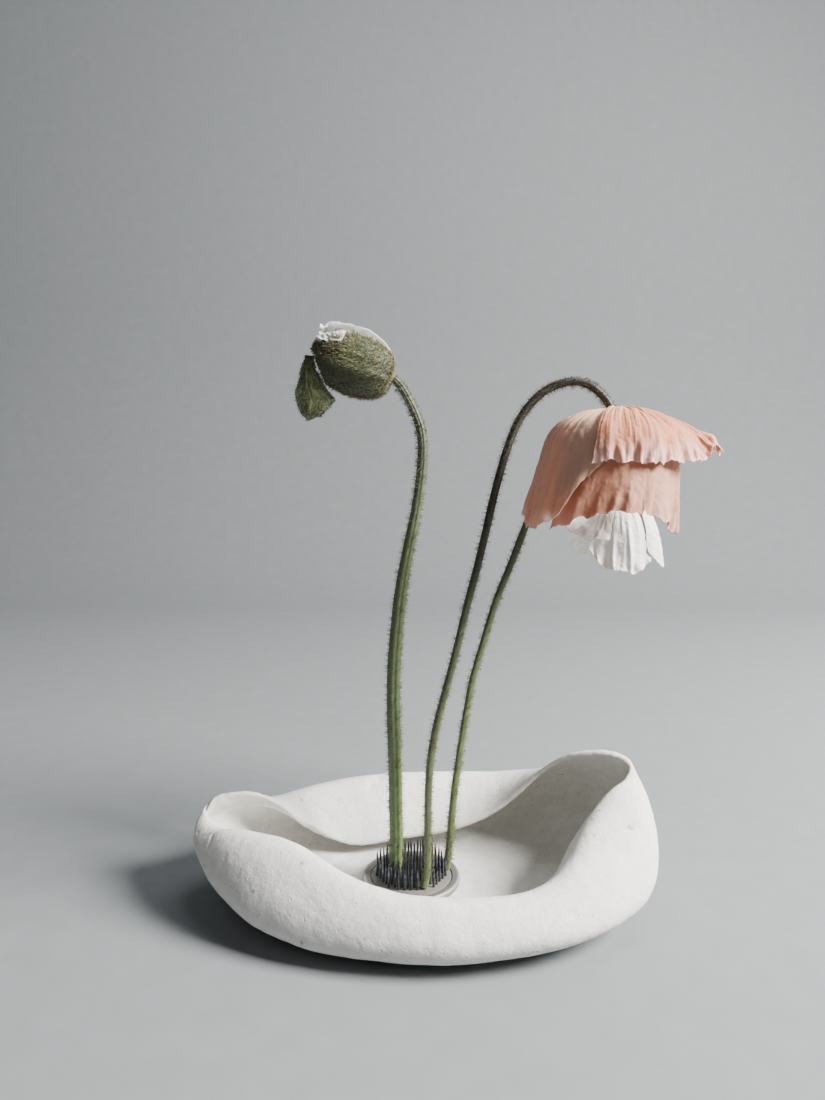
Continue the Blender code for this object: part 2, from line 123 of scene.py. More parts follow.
# Where the wall turns sharply at the two ends of the bowl, and how far round it is eased.
SHARP_TURNS = ((-107, 2, 45), (116, 3, 66))
TURN_REACH = 11.0
TURN_SMOOTHING = 90

# Marks that fingers and tools left in the clay: place, radius and depth.
PINCH_MARKS = (
    ((-19, 51, 41), 3.2, 1.1), ((-23, 46, 38), 2.4, 0.9), ((-27, 36, 25), 2.6, 0.9),
    ((-30, 32, 22), 2.0, 0.7), ((38, 50, 34), 2.2, 1.3), ((31, 52, 36), 1.8, 0.7),
    ((-88, -34, 27), 2.4, 0.5), ((-84, -28, 38), 2.0, 0.6), ((-77, -36, 36), 1.7, 0.5),
)

# Pin holder
RECESS_RADIUS = 21.0
RECESS_DEPTH = 1.5
PLATE_EDGE_RADIUS = 0.75
PLATE_SIDES = 180
BED_SIDES = 120
BED_BELOW_PLATE = 0.35  # the top of the bed lies this much lower than the plate's
NEEDLE_PITCH = 3.2
NEEDLE_RADIUS = 0.62
NEEDLE_FIELD = 18.6
NEEDLE_SHIFT = 1.6  # the field sits a little behind the middle of the plate

# Stems
STEM_BOTTOM = 11.6
BUD_STEM_RADIUS = 3.3
FLOWER_STEM_RADIUS = 1.9
BUD_STEM_ROUTE = (
    (-8.2, 0.5, STEM_BOTTOM), (-7.9, 0.4, 40), (-8.6, 0.2, 80), (-9.0, 0, 112), (-6.8, 0, 143),
    (-3.6, 0, 168), (0.8, 0, 192), (4.3, 0, 214), (5.3, 0, 230), (3.6, 0, 241),
    (-0.8, 0, 251), (-5.0, 0, 258.2), (-8.7, 0, 261.9),
)
PINK_STEM_ROUTE = (
    (6.3, -13.7, STEM_BOTTOM), (8.0, -13, 24), (8.3, -12, 50), (9.6, -10, 77), (15.0, -9, 104),
    (21.4, -8, 129), (26.6, -6, 151), (32.8, -5, 175), (38.2, -4, 199), (44.0, -3, 222),
    (50.4, -2, 240), (58.2, -1, 251.5), (67.3, 0, 258.2), (77.5, 0, 260.8), (86.0, 0, 258.6),
    (92.6, 0, 253.0), (96.2, 0, 247.9),
)
WHITE_STEM_ROUTE = (
    (18.4, 5.2, STEM_BOTTOM), (20.6, 5.4, 33), (22.4, 8, 53), (25.4, 12, 73), (28.9, 16, 92),
    (32.9, 20, 111), (38.9, 24, 130.6), (45.2, 28, 150), (53.7, 32, 170), (60.9, 35, 188.6),
    (69.3, 38, 206), (78.7, 40, 218), (89.3, 41.5, 224.5), (100.2, 43.5, 222.5),
    (108.8, 45.3, 213.3), (113.3, 46, 200.8),
)

HAIR_ROOT_DEPTH = 0.08  # hairs start this far under the skin
HAIR_RADIUS = 0.10

# Petals
PETAL_THICKNESS = 0.28
SEPAL_THICKNESS = 0.9
BASE_SHARE = 0.33  # the share of a petal's length that counts as its base
PLEAT_SLOPE = 3.6  # how steeply a pleat falls away from its crest
FOLD_HEIGHT = 2.6
RUFFLE_HEIGHT = 1.7
SWAY = 2.2  # degrees that the sides of a petal wander
HEM_WIDTH = 0.9

# Ovary skin
OVARY_DARK = (0.30, 0.36, 0.14)
OVARY_LIGHT = (0.46, 0.52, 0.24)

# Studio, in metres
FLOOR_FRONT = -1.6
FLOOR_BACK = 0.75
FLOOR_HALF_WIDTH = 2.4
BACKDROP_BEND = 0.5
BACKDROP_TOP = 2.4
BEND_STEPS = 12
LIGHT_AIM = (0.01, 0.0, 0.12)
LIGHTS = (  # name, place, size, power in watts, tint
    ("window", (1.17, -0.32, 0.97), 0.55, 118.0, (1.0, 0.985, 0.96)),
    ("sky", (0.45, 0.20, 1.5), 0.9, 10.0, (0.96, 0.98, 1.0)),
    ("fill", (-0.5, -0.75, 1.35), 1.0, 1.6, (0.95, 0.97, 1.0)),
)
WORLD_COLOUR = (0.80, 0.83, 0.86, 1)
WORLD_STRENGTH = 0.07
CAMERA_PLACE = (0.0006, -0.4017, 0.2314)
CAMERA_TILT = 82.65  # degrees up from straight down
CAMERA_LENS = 27.03
CAMERA_SENSOR = 36


# ---------------------------------------------------------------- curves, fields and meshes


def spline(points, count, closed=False):
    """Evenly stepped samples of the smooth cubic curve through the points."""
    knots = np.asarray(points, float)
    shape = knots.shape
    knots = knots.reshape(len(knots), -1)
    n = len(knots)
    system = 4 * np.eye(n) + np.roll(np.eye(n), 1, 0) + np.roll(np.eye(n), -1, 0)
    bend = 6 * (np.roll(knots, -1, 0) - 2 * knots + np.roll(knots, 1, 0))
    if not closed:
        for end in (0, n - 1):
            system[end] = np.eye(n)[end]
            bend[end] = 0
    bend = np.linalg.solve(system, bend)
    spans = n if closed else n - 1
    position = np.linspace(0, spans, count, endpoint=not closed)
    start = np.minimum(position.astype(int), spans - 1)
    after = (start + 1) % n
    f = (position - start)[:, None]
    g = 1 - f
    curve = g * knots[start] + f * knots[after]
    curve += ((g**3 - g) * bend[start] + (f**3 - f) * bend[after]) / 6
    return curve.reshape(count, *shape[1:])


def unit(vectors):
    return vectors / np.linalg.norm(vectors, axis=-1, keepdims=True)


def smooth_noise(points, wavelength, seed):
    """Smooth noise, about -1 to 1, at each point of an array of points."""
    shift = Vector((17.3 * seed, 5.1 * seed, 9.7 * seed))
    flat = np.asarray(points, float).reshape(-1, 3) / wavelength
    values = [noise.noise(Vector(point) + shift) for point in flat]
    return np.array(values).reshape(np.shape(points)[:-1])


def hill(values, centre, width):
    """1 at the centre, falling smoothly to nothing about two widths away."""
    return np.exp(-((values - centre) / width) ** 2)


def ramped(values, start, end):
    """0 before the start, 1 after the end, and smooth between them."""
    share = np.clip((values - start) / (end - start), 0, 1)
    return share * share * (3 - 2 * share)


def crease_noise(points, wavelength, seed):
    """Noise with sharp creases, 0 in a crease and about 1 between them."""
    return np.abs(smooth_noise(points, wavelength, seed)) * 2


def grid_quads(rows, columns, wrap=False, start=0):
    """Faces of a grid of points that are stored row by row."""
    row, column = np.mgrid[0:rows - 1, 0:columns if wrap else columns - 1]
    here = start + row * columns + column
    right = start + row * columns + (column + 1) % columns
    return np.stack((here, right, right + columns, here + columns), axis=-1).reshape(-1, 4)


def skin(rings):
    """Points and faces of a closed body over rings of equal length, with flat ends."""
    rings = np.asarray(rings, float)
    count = rings.shape[1]
    last = (len(rings) - 1) * count
    faces = grid_quads(len(rings), count, wrap=True).tolist()
    faces.append(list(range(count))[::-1])
    faces.append(list(range(last, last + count)))
    return rings.reshape(-1, 3), faces


def sheet_normals(grid):
    return unit(np.cross(np.gradient(grid, axis=1), np.gradient(grid, axis=0)))


def sheet(grid, thickness):
    """Points and faces of a closed sheet, centred on a grid of points."""
    rows, columns = grid.shape[:2]
    count = rows * columns
    half = np.broadcast_to(np.asarray(thickness, float) / 2, (rows, columns))
    offset = sheet_normals(grid) * half[..., None]
    points = np.concatenate(((grid + offset).reshape(-1, 3), (grid - offset).reshape(-1, 3)))
    front = grid_quads(rows, columns)
    index = np.arange(count).reshape(rows, columns)
    rim = np.concatenate((index[0], index[1:, -1], index[-1, -2::-1], index[-2:0:-1, 0]))
    after = np.roll(rim, -1)
    edge = np.stack((rim, rim + count, after + count, after), axis=-1)
    return points, np.concatenate((front, front[:, ::-1] + count, edge)).tolist()


def gather(parts):
    """One list of points and faces from many."""
    points, faces, start = [], [], 0
    for part_points, part_faces in parts:
        points.append(np.asarray(part_points, float))
        faces += [[start + k for k in face] for face in part_faces]
        start += len(part_points)
    return np.concatenate(points), faces


def add_piece(name, body, material, nodes=(), fields=None, sharp=None):
    """An object that rides on the arrangement and stands for those CAD nodes.

    Each field is a value at every point, for the material to read. Edges sharper than `sharp`
    degrees are kept sharp.
    """
    points, faces = body
    mesh = bpy.data.meshes.new(name)
    mesh.from_pydata((np.asarray(points) * MM).tolist(), [], faces)
    shell = bmesh.new()
    shell.from_mesh(mesh)
    bmesh.ops.recalc_face_normals(shell, faces=shell.faces)
    shell.to_mesh(mesh)
    shell.free()
    mesh.shade_smooth()
    if sharp:
        mesh.set_sharp_from_angle(angle=radians(sharp))
    for field, values in (fields or {}).items():
        attribute = mesh.attributes.new(field, "FLOAT", "POINT")
        attribute.data.foreach_set("value", np.asarray(values, np.float32).ravel())
    mesh.materials.append(material)
    piece = bpy.data.objects.new(name, mesh)
    bpy.context.collection.objects.link(piece)
    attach(piece, "root")
    if nodes:
        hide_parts(*nodes)
    return piece


def add_sheet(name, node, grid, thickness, material, fields):
    """A thin closed sheet over a grid of points, with the same fields on both of its sides."""
    both = {key: np.tile(values.ravel(), 2) for key, values in fields.items()}
    add_piece(name, sheet(grid, thickness), material, (node,), both)


def box_corners(node):
    """The low and high corner of a CAD node's box, in millimetres."""
    return (np.array(corner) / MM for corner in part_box(node))


def box_centre(node):
    low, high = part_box(node)
    return np.array((low + high) / 2) / MM


# ---------------------------------------------------------------- materials


class Look:
    """A Principled material, with short ways of adding the nodes that drive it."""

    def __init__(self, name, **sockets):
        self.material = bpy.data.materials.new(name)
        self.material.use_nodes = True
        self.tree = self.material.node_tree
        self.shader = self.tree.nodes["Principled BSDF"]
        for socket, value in sockets.items():
            self.shader.inputs[socket.replace("_", " ")].default_value = value

    def node(self, kind, inputs=(), **settings):
        node = self.tree.nodes.new(kind)
        for setting, value in settings.items():
            setattr(node, setting, value)
        for socket, value in dict(inputs).items():
            self.feed(node.inputs[socket], value)
        return node

    def feed(self, socket, value):
        if isinstance(value, bpy.types.NodeSocket):
            self.tree.links.new(value, socket)
        elif isinstance(value, tuple) and len(value) == 3 and socket.type == "RGBA":
            socket.default_value = (*value, 1)
        else:
            socket.default_value = value

    def place(self, stretch=(1, 1, 1)):
        """The place on the object, in metres, stretched along each axis."""
        where = self.node("ShaderNodeTexCoord").outputs["Object"]
        return self.node("ShaderNodeMapping", {"Vector": where, "Scale": stretch}).outputs[0]

    def field(self, name):
        return self.node("ShaderNodeAttribute", attribute_name=name).outputs["Fac"]

    def noise(self, scale, detail=3.0, rough=0.55, vector=None):
        where = vector or self.place()
        inputs = {"Vector": where, "Scale": scale, "Detail": detail, "Roughness": rough}
        return self.node("ShaderNodeTexNoise", inputs).outputs["Fac"]

    def cells(self, scale, feature="F1", spread=1.0):
        inputs = {"Vector": self.place(), "Scale": scale, "Randomness": spread}
        return self.node("ShaderNodeTexVoronoi", inputs, feature=feature).outputs["Distance"]

    def streaks(self, across, along, detail=3.0):
        """Noise drawn out along the leaf or petal, from its across and along fields."""
        inputs = {"X": self.times(self.field("across"), across),
                  "Y": self.times(self.field("along"), along)}
        where = self.node("ShaderNodeCombineXYZ", inputs).outputs[0]
        return self.noise(1.0, detail, 0.6, where)

    def ramp(self, value, *stops):
        """A colour, or a grey level, for the value: each stop is (position, colour or level)."""
        node = self.node("ShaderNodeValToRGB", {"Fac": value})
        elements = node.color_ramp.elements
        while len(elements) < len(stops):
            elements.new(0.5)
        for element, (position, colour) in zip(elements, stops):
            element.position = position
            element.color = (*colour, 1) if isinstance(colour, tuple) else (colour,) * 3 + (1,)
        return node.outputs["Color"]

    def mix(self, share, first, second, blend="MIX"):
        node = self.node("ShaderNodeMix", data_type="RGBA", blend_type=blend)
        for index, value in ((0, share), (6, first), (7, second)):
            self.feed(node.inputs[index], value)
        return node.outputs[2]

    def cover(self, body, colour, value, *stops):
        """The body with another colour over it: the stops give its share for each value."""
        return self.mix(self.ramp(value, *stops), body, colour)

    def maths(self, operation, first, second=0.0):
        node = self.node("ShaderNodeMath", operation=operation)
        self.feed(node.inputs[0], first)
        self.feed(node.inputs[1], second)
        return node.outputs[0]

    def times(self, first, second):
        return self.maths("MULTIPLY", first, second)

    def plus(self, first, second):
        return self.maths("ADD", first, second)

    def colour(self, socket):
        self.feed(self.shader.inputs["Base Color"], socket)

    def roughness(self, value, low, high):
        inputs = {"Value": value, "To Min": low, "To Max": high}
        level = self.node("ShaderNodeMapRange", inputs).outputs[0]
        self.feed(self.shader.inputs["Roughness"], level)

    def bumps(self, *layers):
        """Bump from (height, strength, depth in millimetres) layers, one on the other."""
        below = None
        for height, strength, depth in layers:
            inputs = {"Height": height, "Strength": strength, "Distance": depth * MM}
            if below is not None:
                inputs["Normal"] = below
            below = self.node("ShaderNodeBump", inputs).outputs[0]
        self.feed(self.shader.inputs["Normal"], below)


def stoneware():
    """Matt unglazed white stoneware with iron specks, pores and faint water marks."""
    look = Look("stoneware", Specular_IOR_Level=0.3)
    clouds = look.noise(24, 4)
    body = look.ramp(clouds, (0.30, (0.735, 0.725, 0.690)), (0.70, (0.815, 0.808, 0.785)))
    mottle = look.noise(170, 4, 0.6)
    body = look.cover(body, (0.64, 0.625, 0.585), mottle, (0.34, 0.55), (0.60, 0.0))
    grain = look.noise(900, 3, 0.7)
    body = look.cover(body, (0.56, 0.54, 0.50), grain, (0.36, 0.35), (0.56, 0.0))
    body = look.cover(body, (0.74, 0.69, 0.60), look.noise(50, 2), (0.50, 0.0), (0.75, 0.30))
    chosen = look.noise(95, 1)
    specks = look.plus(look.cells(230), look.times(look.maths("SUBTRACT", 0.66, chosen), 2.2))
    body = look.cover(body, (0.26, 0.235, 0.20), specks, (0.05, 0.6), (0.13, 0.0))
    fine = look.plus(look.cells(620), look.times(look.maths("SUBTRACT", 0.62, chosen), 1.6))
    body = look.cover(body, (0.38, 0.35, 0.31), fine, (0.10, 0.45), (0.26, 0.0))
    body = look.cover(body, (0.50, 0.49, 0.45), look.field("stain"), (0.0, 0.0), (1.0, 0.45))
    body = look.cover(body, (0.66, 0.62, 0.54), look.field("rim"), (0.0, 0.0), (1.0, 0.35))
    look.colour(body)
    look.roughness(clouds, 0.70, 0.90)
    pits = look.plus(look.cells(380), look.times(chosen, 0.35))
    pores = look.ramp(pits, (0.22, 0.0), (0.36, 1.0))
    look.bumps((mottle, 0.45, 1.0), (look.noise(330, 4, 0.6), 0.40, 0.6), (grain, 0.25, 0.2),
               (pores, 0.45, 0.35))
    return look.material


def cast_plate():
    """Grey cast metal, smoother where the edge has worn and lighter there: partly wear and partly a
    painted highlight along the rolled edge.
    """
    look = Look("cast_plate", Metallic=0.3, Specular_IOR_Level=0.35)
    cast = look.noise(180, 5, 0.65)
    body = look.ramp(cast, (0.30, (0.105, 0.101, 0.095)), (0.70, (0.175, 0.171, 0.162)))
    body = look.cover(body, (0.17, 0.15, 0.13), look.noise(45, 3), (0.45, 0.0), (0.70, 0.6))
    # Lighter on the rolled edge: partly worn metal, partly a painted highlight.
    wear_and_highlight = look.times(look.field("edge"), look.ramp(look.noise(70, 3), (0.32, 0.15), (0.55, 1.0)))
    body = look.mix(wear_and_highlight, body, (0.33, 0.325, 0.31))
    look.colour(body)
    level = look.maths("SUBTRACT", look.plus(cast, 0.25), look.times(wear_and_highlight, 0.45))
    look.roughness(level, 0.36, 0.70)
    look.bumps((cast, 0.3, 0.3), (look.noise(900, 2), 0.2, 0.12))
    return look.material


def needle_steel():
    """Dark blued steel pins with bright rubbed flanks and dull feet."""
    look = Look("needle_steel", Metallic=0.9)
    patchy = look.noise(500, 3)
    body = look.ramp(patchy, (0.35, (0.030, 0.034, 0.048)), (0.65, (0.16, 0.17, 0.20)))
    body = look.cover(body, (0.095, 0.097, 0.092), look.field("height"), (0.0, 0.8), (0.45, 0.0))
    look.colour(body)
    look.roughness(patchy, 0.22, 0.52)
    look.bumps((look.noise(1400, 2), 0.25, 0.1),)
    return look.material


def stem_skin(name, low, high, arch, arch_start, ridge=0.0):
    """The skin of a stem: its colour low down, higher up, and on the arch near the flower."""
    look = Look(name, Subsurface_Weight=0.15, Subsurface_Scale=0.001, Specular_IOR_Level=0.4)
    look.shader.inputs["Subsurface Radius"].default_value = (1.0, 1.0, 0.5)
    along = look.field("along")
    arch_end = 0.5 + 0.5 * arch_start
    body = look.ramp(along, (0.0, low), (arch_start * 0.7, high), (arch_start, high),
                     (arch_end, arch))
    streak = look.streaks(9, 60)
    streaked = look.mix(0.35, body, (0.30, 0.34, 0.17))
    body = look.cover(body, streaked, streak, (0.35, 0.0), (0.70, 0.5))
    body = look.cover(body, arch, along, (arch_start, 0.0), (arch_end, 0.8))
    groove = look.field("groove")
    # Darker in the grooves: painted shade.
    body = look.cover(body, (0.035, 0.055, 0.025), groove, (0.0, 0.45), (0.5, 0.0))
    if ridge:
        body = look.cover(body, (0.125, 0.165, 0.070), groove, (0.62, 0.0), (1.0, ridge))
    body = look.cover(body, (0.13, 0.16, 0.05), look.noise(1100, 2), (0.55, 0.0), (0.72, 0.35))
    look.colour(body)
    look.roughness(streak, 0.42, 0.62)
    look.bumps((streak, 0.35, 0.3), (look.noise(900, 2), 0.25, 0.15))
    return look.material


def bristle_look(name, root, tip):
    """Fine hairs, paler towards the tip."""
    look = Look(name, Roughness=0.45, Subsurface_Weight=0.1, Subsurface_Scale=0.0005)
    body = look.ramp(look.field("along"), (0.0, root), (0.85, tip))
    look.colour(look.cover(body, root, look.noise(80, 2), (0.4, 0.0), (0.65, 0.5)))
    return look.material


def petal_look(name, base, middle, hem, vein, glow, hem_at=0.72):
    """Thin crinkled petal: colours from its base to its hem, fine veins and light through it, with
    painted shade in the troughs of its folds, painted highlights on their crests, and a hem edge
    lightened partly by a painted highlight.
    """
    look = Look(name, Subsurface_Weight=0.45, Subsurface_Scale=0.0012, Sheen_Weight=0.12,
                Sheen_Roughness=0.5, Specular_IOR_Level=0.2)
    look.shader.inputs["Subsurface Radius"].default_value = glow
    look.shader.inputs["Sheen Tint"].default_value = (1.0, 0.93, 0.90, 1)
    drift = look.maths("SUBTRACT", look.noise(55, 3), 0.5)
    along = look.plus(look.field("along"), look.times(drift, 0.30))
    body = look.ramp(along, (0.05, base), (0.40, middle), (hem_at, middle), (0.98, hem))
    tone = look.streaks(14, 1.4)
    body = look.cover(body, look.mix(0.35, body, vein), tone, (0.38, 0.0), (0.68, 0.6))
    veins = look.streaks(110, 2.0)
    body = look.cover(body, vein, veins, (0.40, 0.30), (0.60, 0.0))
    fold = look.field("fold")
    # Darker in the troughs of the folds: painted shade.
    body = look.cover(body, look.mix(0.55, body, vein), fold, (0.12, 0.55), (0.46, 0.0))
    # Lighter on the crests of the folds: painted highlight.
    body = look.cover(body, look.mix(0.6, body, hem), fold, (0.60, 0.0), (0.95, 0.35))
    # A thin lighter band along the hem: partly the paler edge of the petal, partly a painted
    # highlight.
    body = look.cover(body, hem, look.field("hem"), (0.25, 0.0), (0.95, 0.65))
    look.colour(body)
    look.roughness(look.noise(300, 3), 0.50, 0.74)
    crinkle = look.noise(420, 4, 0.65)
    look.bumps((veins, 0.30, 0.22), (crinkle, 0.30, 0.25), (look.noise(1500, 2), 0.15, 0.08))
    return look.material


def sepal_look(name, lift=1.0):
    """Hairy olive calyx valve: green in the middle, red-brown by the tip, dark low down.

    Its greens are made that many times brighter by the lift; a large lift is painted light, making up
    for the shade a valve hangs in.
    """
    look = Look(name, Subsurface_Weight=0.08, Subsurface_Scale=0.001, Specular_IOR_Level=0.3)
    streak = look.streaks(34, 3.0, 4.0)
    deep, green, bright, low = (
        tuple(lift * value for value in colour)
        for colour in ((0.032, 0.036, 0.021), (0.062, 0.069, 0.036), (0.13, 0.14, 0.066),
                       (0.090, 0.096, 0.078))
    )
    body = look.ramp(streak, (0.30, deep), (0.52, green), (0.72, bright))
    shade = look.field("shade")
    body = look.cover(body, low, shade, (0.0, 0.0), (1.0, 0.85))
    red = look.mix(streak, (0.11, 0.065, 0.052), (0.24, 0.155, 0.115))
    body = look.cover(body, red, look.field("blush"), (0.0, 0.0), (1.0, 0.85))
    glint = look.ramp(look.noise(260, 4, 0.7), (0.55, 0.0), (0.75, 0.6))
    glint = look.times(glint, look.maths("SUBTRACT", 1.0, shade))
    body = look.mix(glint, body, (0.20, 0.21, 0.085))
    look.colour(body)
    look.roughness(streak, 0.55, 0.8)
    look.bumps((streak, 0.6, 0.6), (look.noise(700, 3), 0.4, 0.3))
    return look.material


def plain_green(name, dark, light):
    """The ovaries and receptacles: green flesh with lighter ribs."""
    look = Look(name, Subsurface_Weight=0.2, Subsurface_Scale=0.001)
    flesh = look.noise(420, 4)
    look.colour(look.ramp(flesh, (0.3, dark), (0.7, light)))
    look.roughness(flesh, 0.45, 0.65)
    look.bumps((flesh, 0.3, 0.25),)
    return look.material


def pollen(name, dark, light):
    """Pollen-covered anthers and stigma."""
    look = Look(name, Subsurface_Weight=0.15, Subsurface_Scale=0.0006)
    grains = look.noise(2600, 3, 0.7)
    look.colour(look.ramp(grains, (0.3, dark), (0.65, light)))
    look.roughness(grains, 0.7, 0.95)
    look.bumps((grains, 0.6, 0.2),)
    return look.material


def studio_card():
    """The pale seamless floor and backdrop."""
    look = Look("studio_card", Specular_IOR_Level=0.2)
    fibre = look.noise(60, 4)
    look.colour(look.ramp(fibre, (0.3, (0.205, 0.217, 0.223)), (0.7, (0.220, 0.232, 0.240))))
    look.roughness(fibre, 0.85, 0.95)
    return look.material


# ---------------------------------------------------------------- bowl


def ring_normals(rings):
    """The outward direction at each point of a stack of closed rings."""
    around = (np.roll(rings, -1, 1) - np.roll(rings, 1, 1)) / 2
    normal = np.cross(around, np.gradient(rings, axis=0))
    return normal / np.maximum(np.linalg.norm(normal, axis=2), 1e-9)[..., None]


def smoothed(rings, times, share=0.5):
    """The rings with each point moved towards the middle of its neighbours, so many times."""
    for _ in range(times):
        beside = (np.roll(rings, 1, 1) + np.roll(rings, -1, 1)) / 2
        rings = rings + share * (beside - rings)
    return rings


def bowl_sections():
    """Rings of the outside and the inside of the wall, and the wall's direction at the lip."""
    rings = [[] for _ in range(5)]
    for belly, crest, lip in BOWL_STATIONS:
        reach_x, reach_y = (belly[k] - FOOT_CENTRE[k] for k in (0, 1))
        turn = np.arctan2(reach_y / FOOT_Y, reach_x / FOOT_X)
        foot = np.array((FOOT_CENTRE[0] + FOOT_X * cos(turn),
                         FOOT_CENTRE[1] + FOOT_Y * sin(turn), 0.0))
        reach = np.array((LOW_BELLY_REACH, LOW_BELLY_REACH, LOW_BELLY_RISE))
        low_belly = foot + (np.array(belly) - foot) * reach
        for ring, point in zip(rings, (foot, low_belly, belly, crest, lip)):
            ring.append(point)
    stations = spline(np.swapaxes(np.array(rings, float), 0, 1), BOWL_SEGMENTS, closed=True)
    outer = spline(np.swapaxes(stations, 0, 1), BOWL_SECTION_STEPS)
    lip_direction = unit(np.gradient(outer, axis=0)[-1])
    share = np.linspace(0, 1, BOWL_SECTION_STEPS)
    thickness = np.interp(share, np.linspace(0, 1, len(WALL_THICKNESS)), WALL_THICKNESS)
    inner = outer - ring_normals(outer) * thickness[:, None, None]
    above = inner[..., 2] - FLOOR_Z
    inner[..., 2] = FLOOR_Z + (above + np.sqrt(above**2 + FLOOR_BLEND)) / 2
    inner[0, :, 2] = FLOOR_Z
    return smoothed(outer, OUTSIDE_SMOOTHING), smoothed(inner, INSIDE_SMOOTHING), lip_direction


def bowl_rings():
    """One stack of rings: up the outside, over the lip, down the inside and over the floor."""
    outer, inner, lip_direction = bowl_sections()
    middle = (outer[-1] + inner[-1]) / 2
    half = (outer[-1] - inner[-1]) / 2
    bulge = lip_direction * WALL_THICKNESS[-1] * LIP_BULGE
    lip = []
    for step in range(1, LIP_STEPS):
        turn = pi * step / LIP_STEPS
        lip.append(middle + half * cos(turn) + bulge * sin(turn))
    centre = np.array((*FOOT_CENTRE, FLOOR_Z))
    shares = (*np.linspace(1, 0, FLOOR_RINGS + 1)[1:-1], 0.01)
    floor = [centre + (inner[0] - centre) * share for share in shares]
    rings = np.array(list(outer) + lip + list(inner[::-1]) + floor)
    for place in SHARP_TURNS:
        near = hill(np.linalg.norm(rings - np.array(place), axis=2), 0, TURN_REACH)
        rings = smoothed(rings, TURN_SMOOTHING, 0.5 * near[..., None])
    return rings


def clay_marks(rings, near_lip):
    """How far the hand-worked clay stands out: waves, pits, pinch marks and an uneven lip."""
    lift = 0.55 * smooth_noise(rings, 34, 1) + 0.30 * smooth_noise(rings, 13, 2)
    lift += 0.13 * smooth_noise(rings, 5, 3)
    pitting = np.clip(smooth_noise(rings, 2.6, 4) - 0.28, 0, 1)
    pitted_side = np.clip((-rings[..., 0] - 55) / 35, 0.12, 1)
    lift -= 1.1 * pitting * pitted_side
    ragged = 1 + 0.5 * smooth_noise(rings, 2.5, 5)
    for place, radius, depth in PINCH_MARKS:
        distance = np.linalg.norm(rings - np.array(place), axis=2)
        lift -= depth * np.exp(-(distance / radius) ** 2 * ragged)
    return lift + near_lip * 0.35 * smooth_noise(rings, 3.2, 6)


def build_bowl():
    rings = bowl_rings()
    normal = ring_normals(rings)
    lip_row = BOWL_SECTION_STEPS + LIP_STEPS / 2
    row = np.arange(len(rings))[:, None] * np.ones(rings.shape[:2])
    near_lip = hill(row, lip_row, LIP_ROWS)
    lift = clay_marks(rings, near_lip)

    # The underside rests on its foot, and the pin holder rests on the floor.
    from_middle = np.linalg.norm(rings[..., :2], axis=2)
    past_holder = np.clip((from_middle - 27) / 8, 0, 1)
    is_floor = (np.abs(rings[..., 2] - FLOOR_Z) < FLOOR_BAND) & (normal[..., 2] > 0.5)
    lift = np.where(is_floor, lift * past_holder * 0.6, lift)
    lift *= np.clip(rings[..., 2] / 4, 0, 1)
    rings = rings + normal * lift[..., None]

    # Where water stood, it left a faint broken ring on the floor.
    water_mark = hill(from_middle, WATER_MARK_RADIUS + 3 * smooth_noise(rings, 18, 7), 1.3)
    water_mark *= is_floor * np.clip(smooth_noise(rings, 14, 8) + 0.35, 0, 1)
    fields = {"rim": near_lip, "stain": water_mark}
    add_piece("stoneware_bowl", skin(rings), stoneware(), ("bowl",), fields)


# ---------------------------------------------------------------- pin holder


def turned(profile, centre, sides, wobble=0.0):
    """Rings round a vertical axis from (radius, height) pairs, out of round by the wobble."""
    turns = np.linspace(0, 2 * pi, sides, endpoint=False)
    rings = []
    for radius, height in profile:
        reach = radius + wobble * np.sin(3 * turns + 0.6) * (radius > 1)
        rings.append(np.stack((centre[0] + reach * np.cos(turns),
                               centre[1] + reach * np.sin(turns),
                               np.full(sides, height)), axis=-1))
    return np.array(rings)


def build_plate():
    """The weighted plate, with a rolled edge round a flat flange and a shallow recess."""
    low, high = box_corners("kenzan_base")
    radius = (high[0] - low[0]) / 2
    bottom, top = low[2], high[2]
    edge = PLATE_EDGE_RADIUS
    profile = [(0.3, bottom + 0.5), (18.0, bottom + 0.5), (radius - 3.0, bottom),
               (radius - 1.2, bottom), (radius - 0.4, bottom + 0.4), (radius, bottom + 1.1)]
    for k in range(7):
        turn = radians(-10 + 100 * k / 6)
        profile.append((radius - edge + edge * cos(turn), top - edge + edge * sin(turn)))
    recess = RECESS_RADIUS
    profile += [(radius - 1.5, top - 0.08), (radius - 2.1, top - 0.25), (recess + 0.7, top - 0.3),
                (recess + 0.2, top - 0.38), (recess, top - 0.6), (recess, top - RECESS_DEPTH),
                (0.3, top - RECESS_DEPTH)]
    rings = turned(profile, (0, 0), PLATE_SIDES, 0.05)
    # The rolled top edge, painted lighter by the plate's look: partly wear, partly a painted
    # highlight.
    wear_and_highlight = [hill(r, radius - 0.5, 0.75) * (z > bottom + 1.5) for r, z in profile]
    fields = {"edge": np.repeat(wear_and_highlight, PLATE_SIDES)}
    add_piece("holder_plate", skin(rings), cast_plate(), ("kenzan_base",), fields, 50)


def stem_feet():
    """Where each stem stands on the pin holder, and its radius there."""
    yield BUD_STEM_ROUTE[0], BUD_STEM_RADIUS
    yield PINK_STEM_ROUTE[0], FLOWER_STEM_RADIUS
    yield WHITE_STEM_ROUTE[0], FLOWER_STEM_RADIUS


def needle_places():
    """Needle positions in a hexagonal field, round the stems that stand among them."""
    row_pitch = NEEDLE_PITCH * sin(pi / 3)
    rows = int(NEEDLE_FIELD / row_pitch)
    reach = int(NEEDLE_FIELD / NEEDLE_PITCH) + 2
    room = NEEDLE_RADIUS + 0.1
    for row in range(-rows, rows + 1):
        for column in range(-reach, reach + 1):
            x = (column + (row % 2) / 2) * NEEDLE_PITCH
            y = row * row_pitch + NEEDLE_SHIFT
            clearance = min(np.hypot(x - foot[0], y - foot[1]) - radius
                            for foot, radius in stem_feet())
            if np.hypot(x, y - NEEDLE_SHIFT) < NEEDLE_FIELD and clearance > room:
                yield x, y


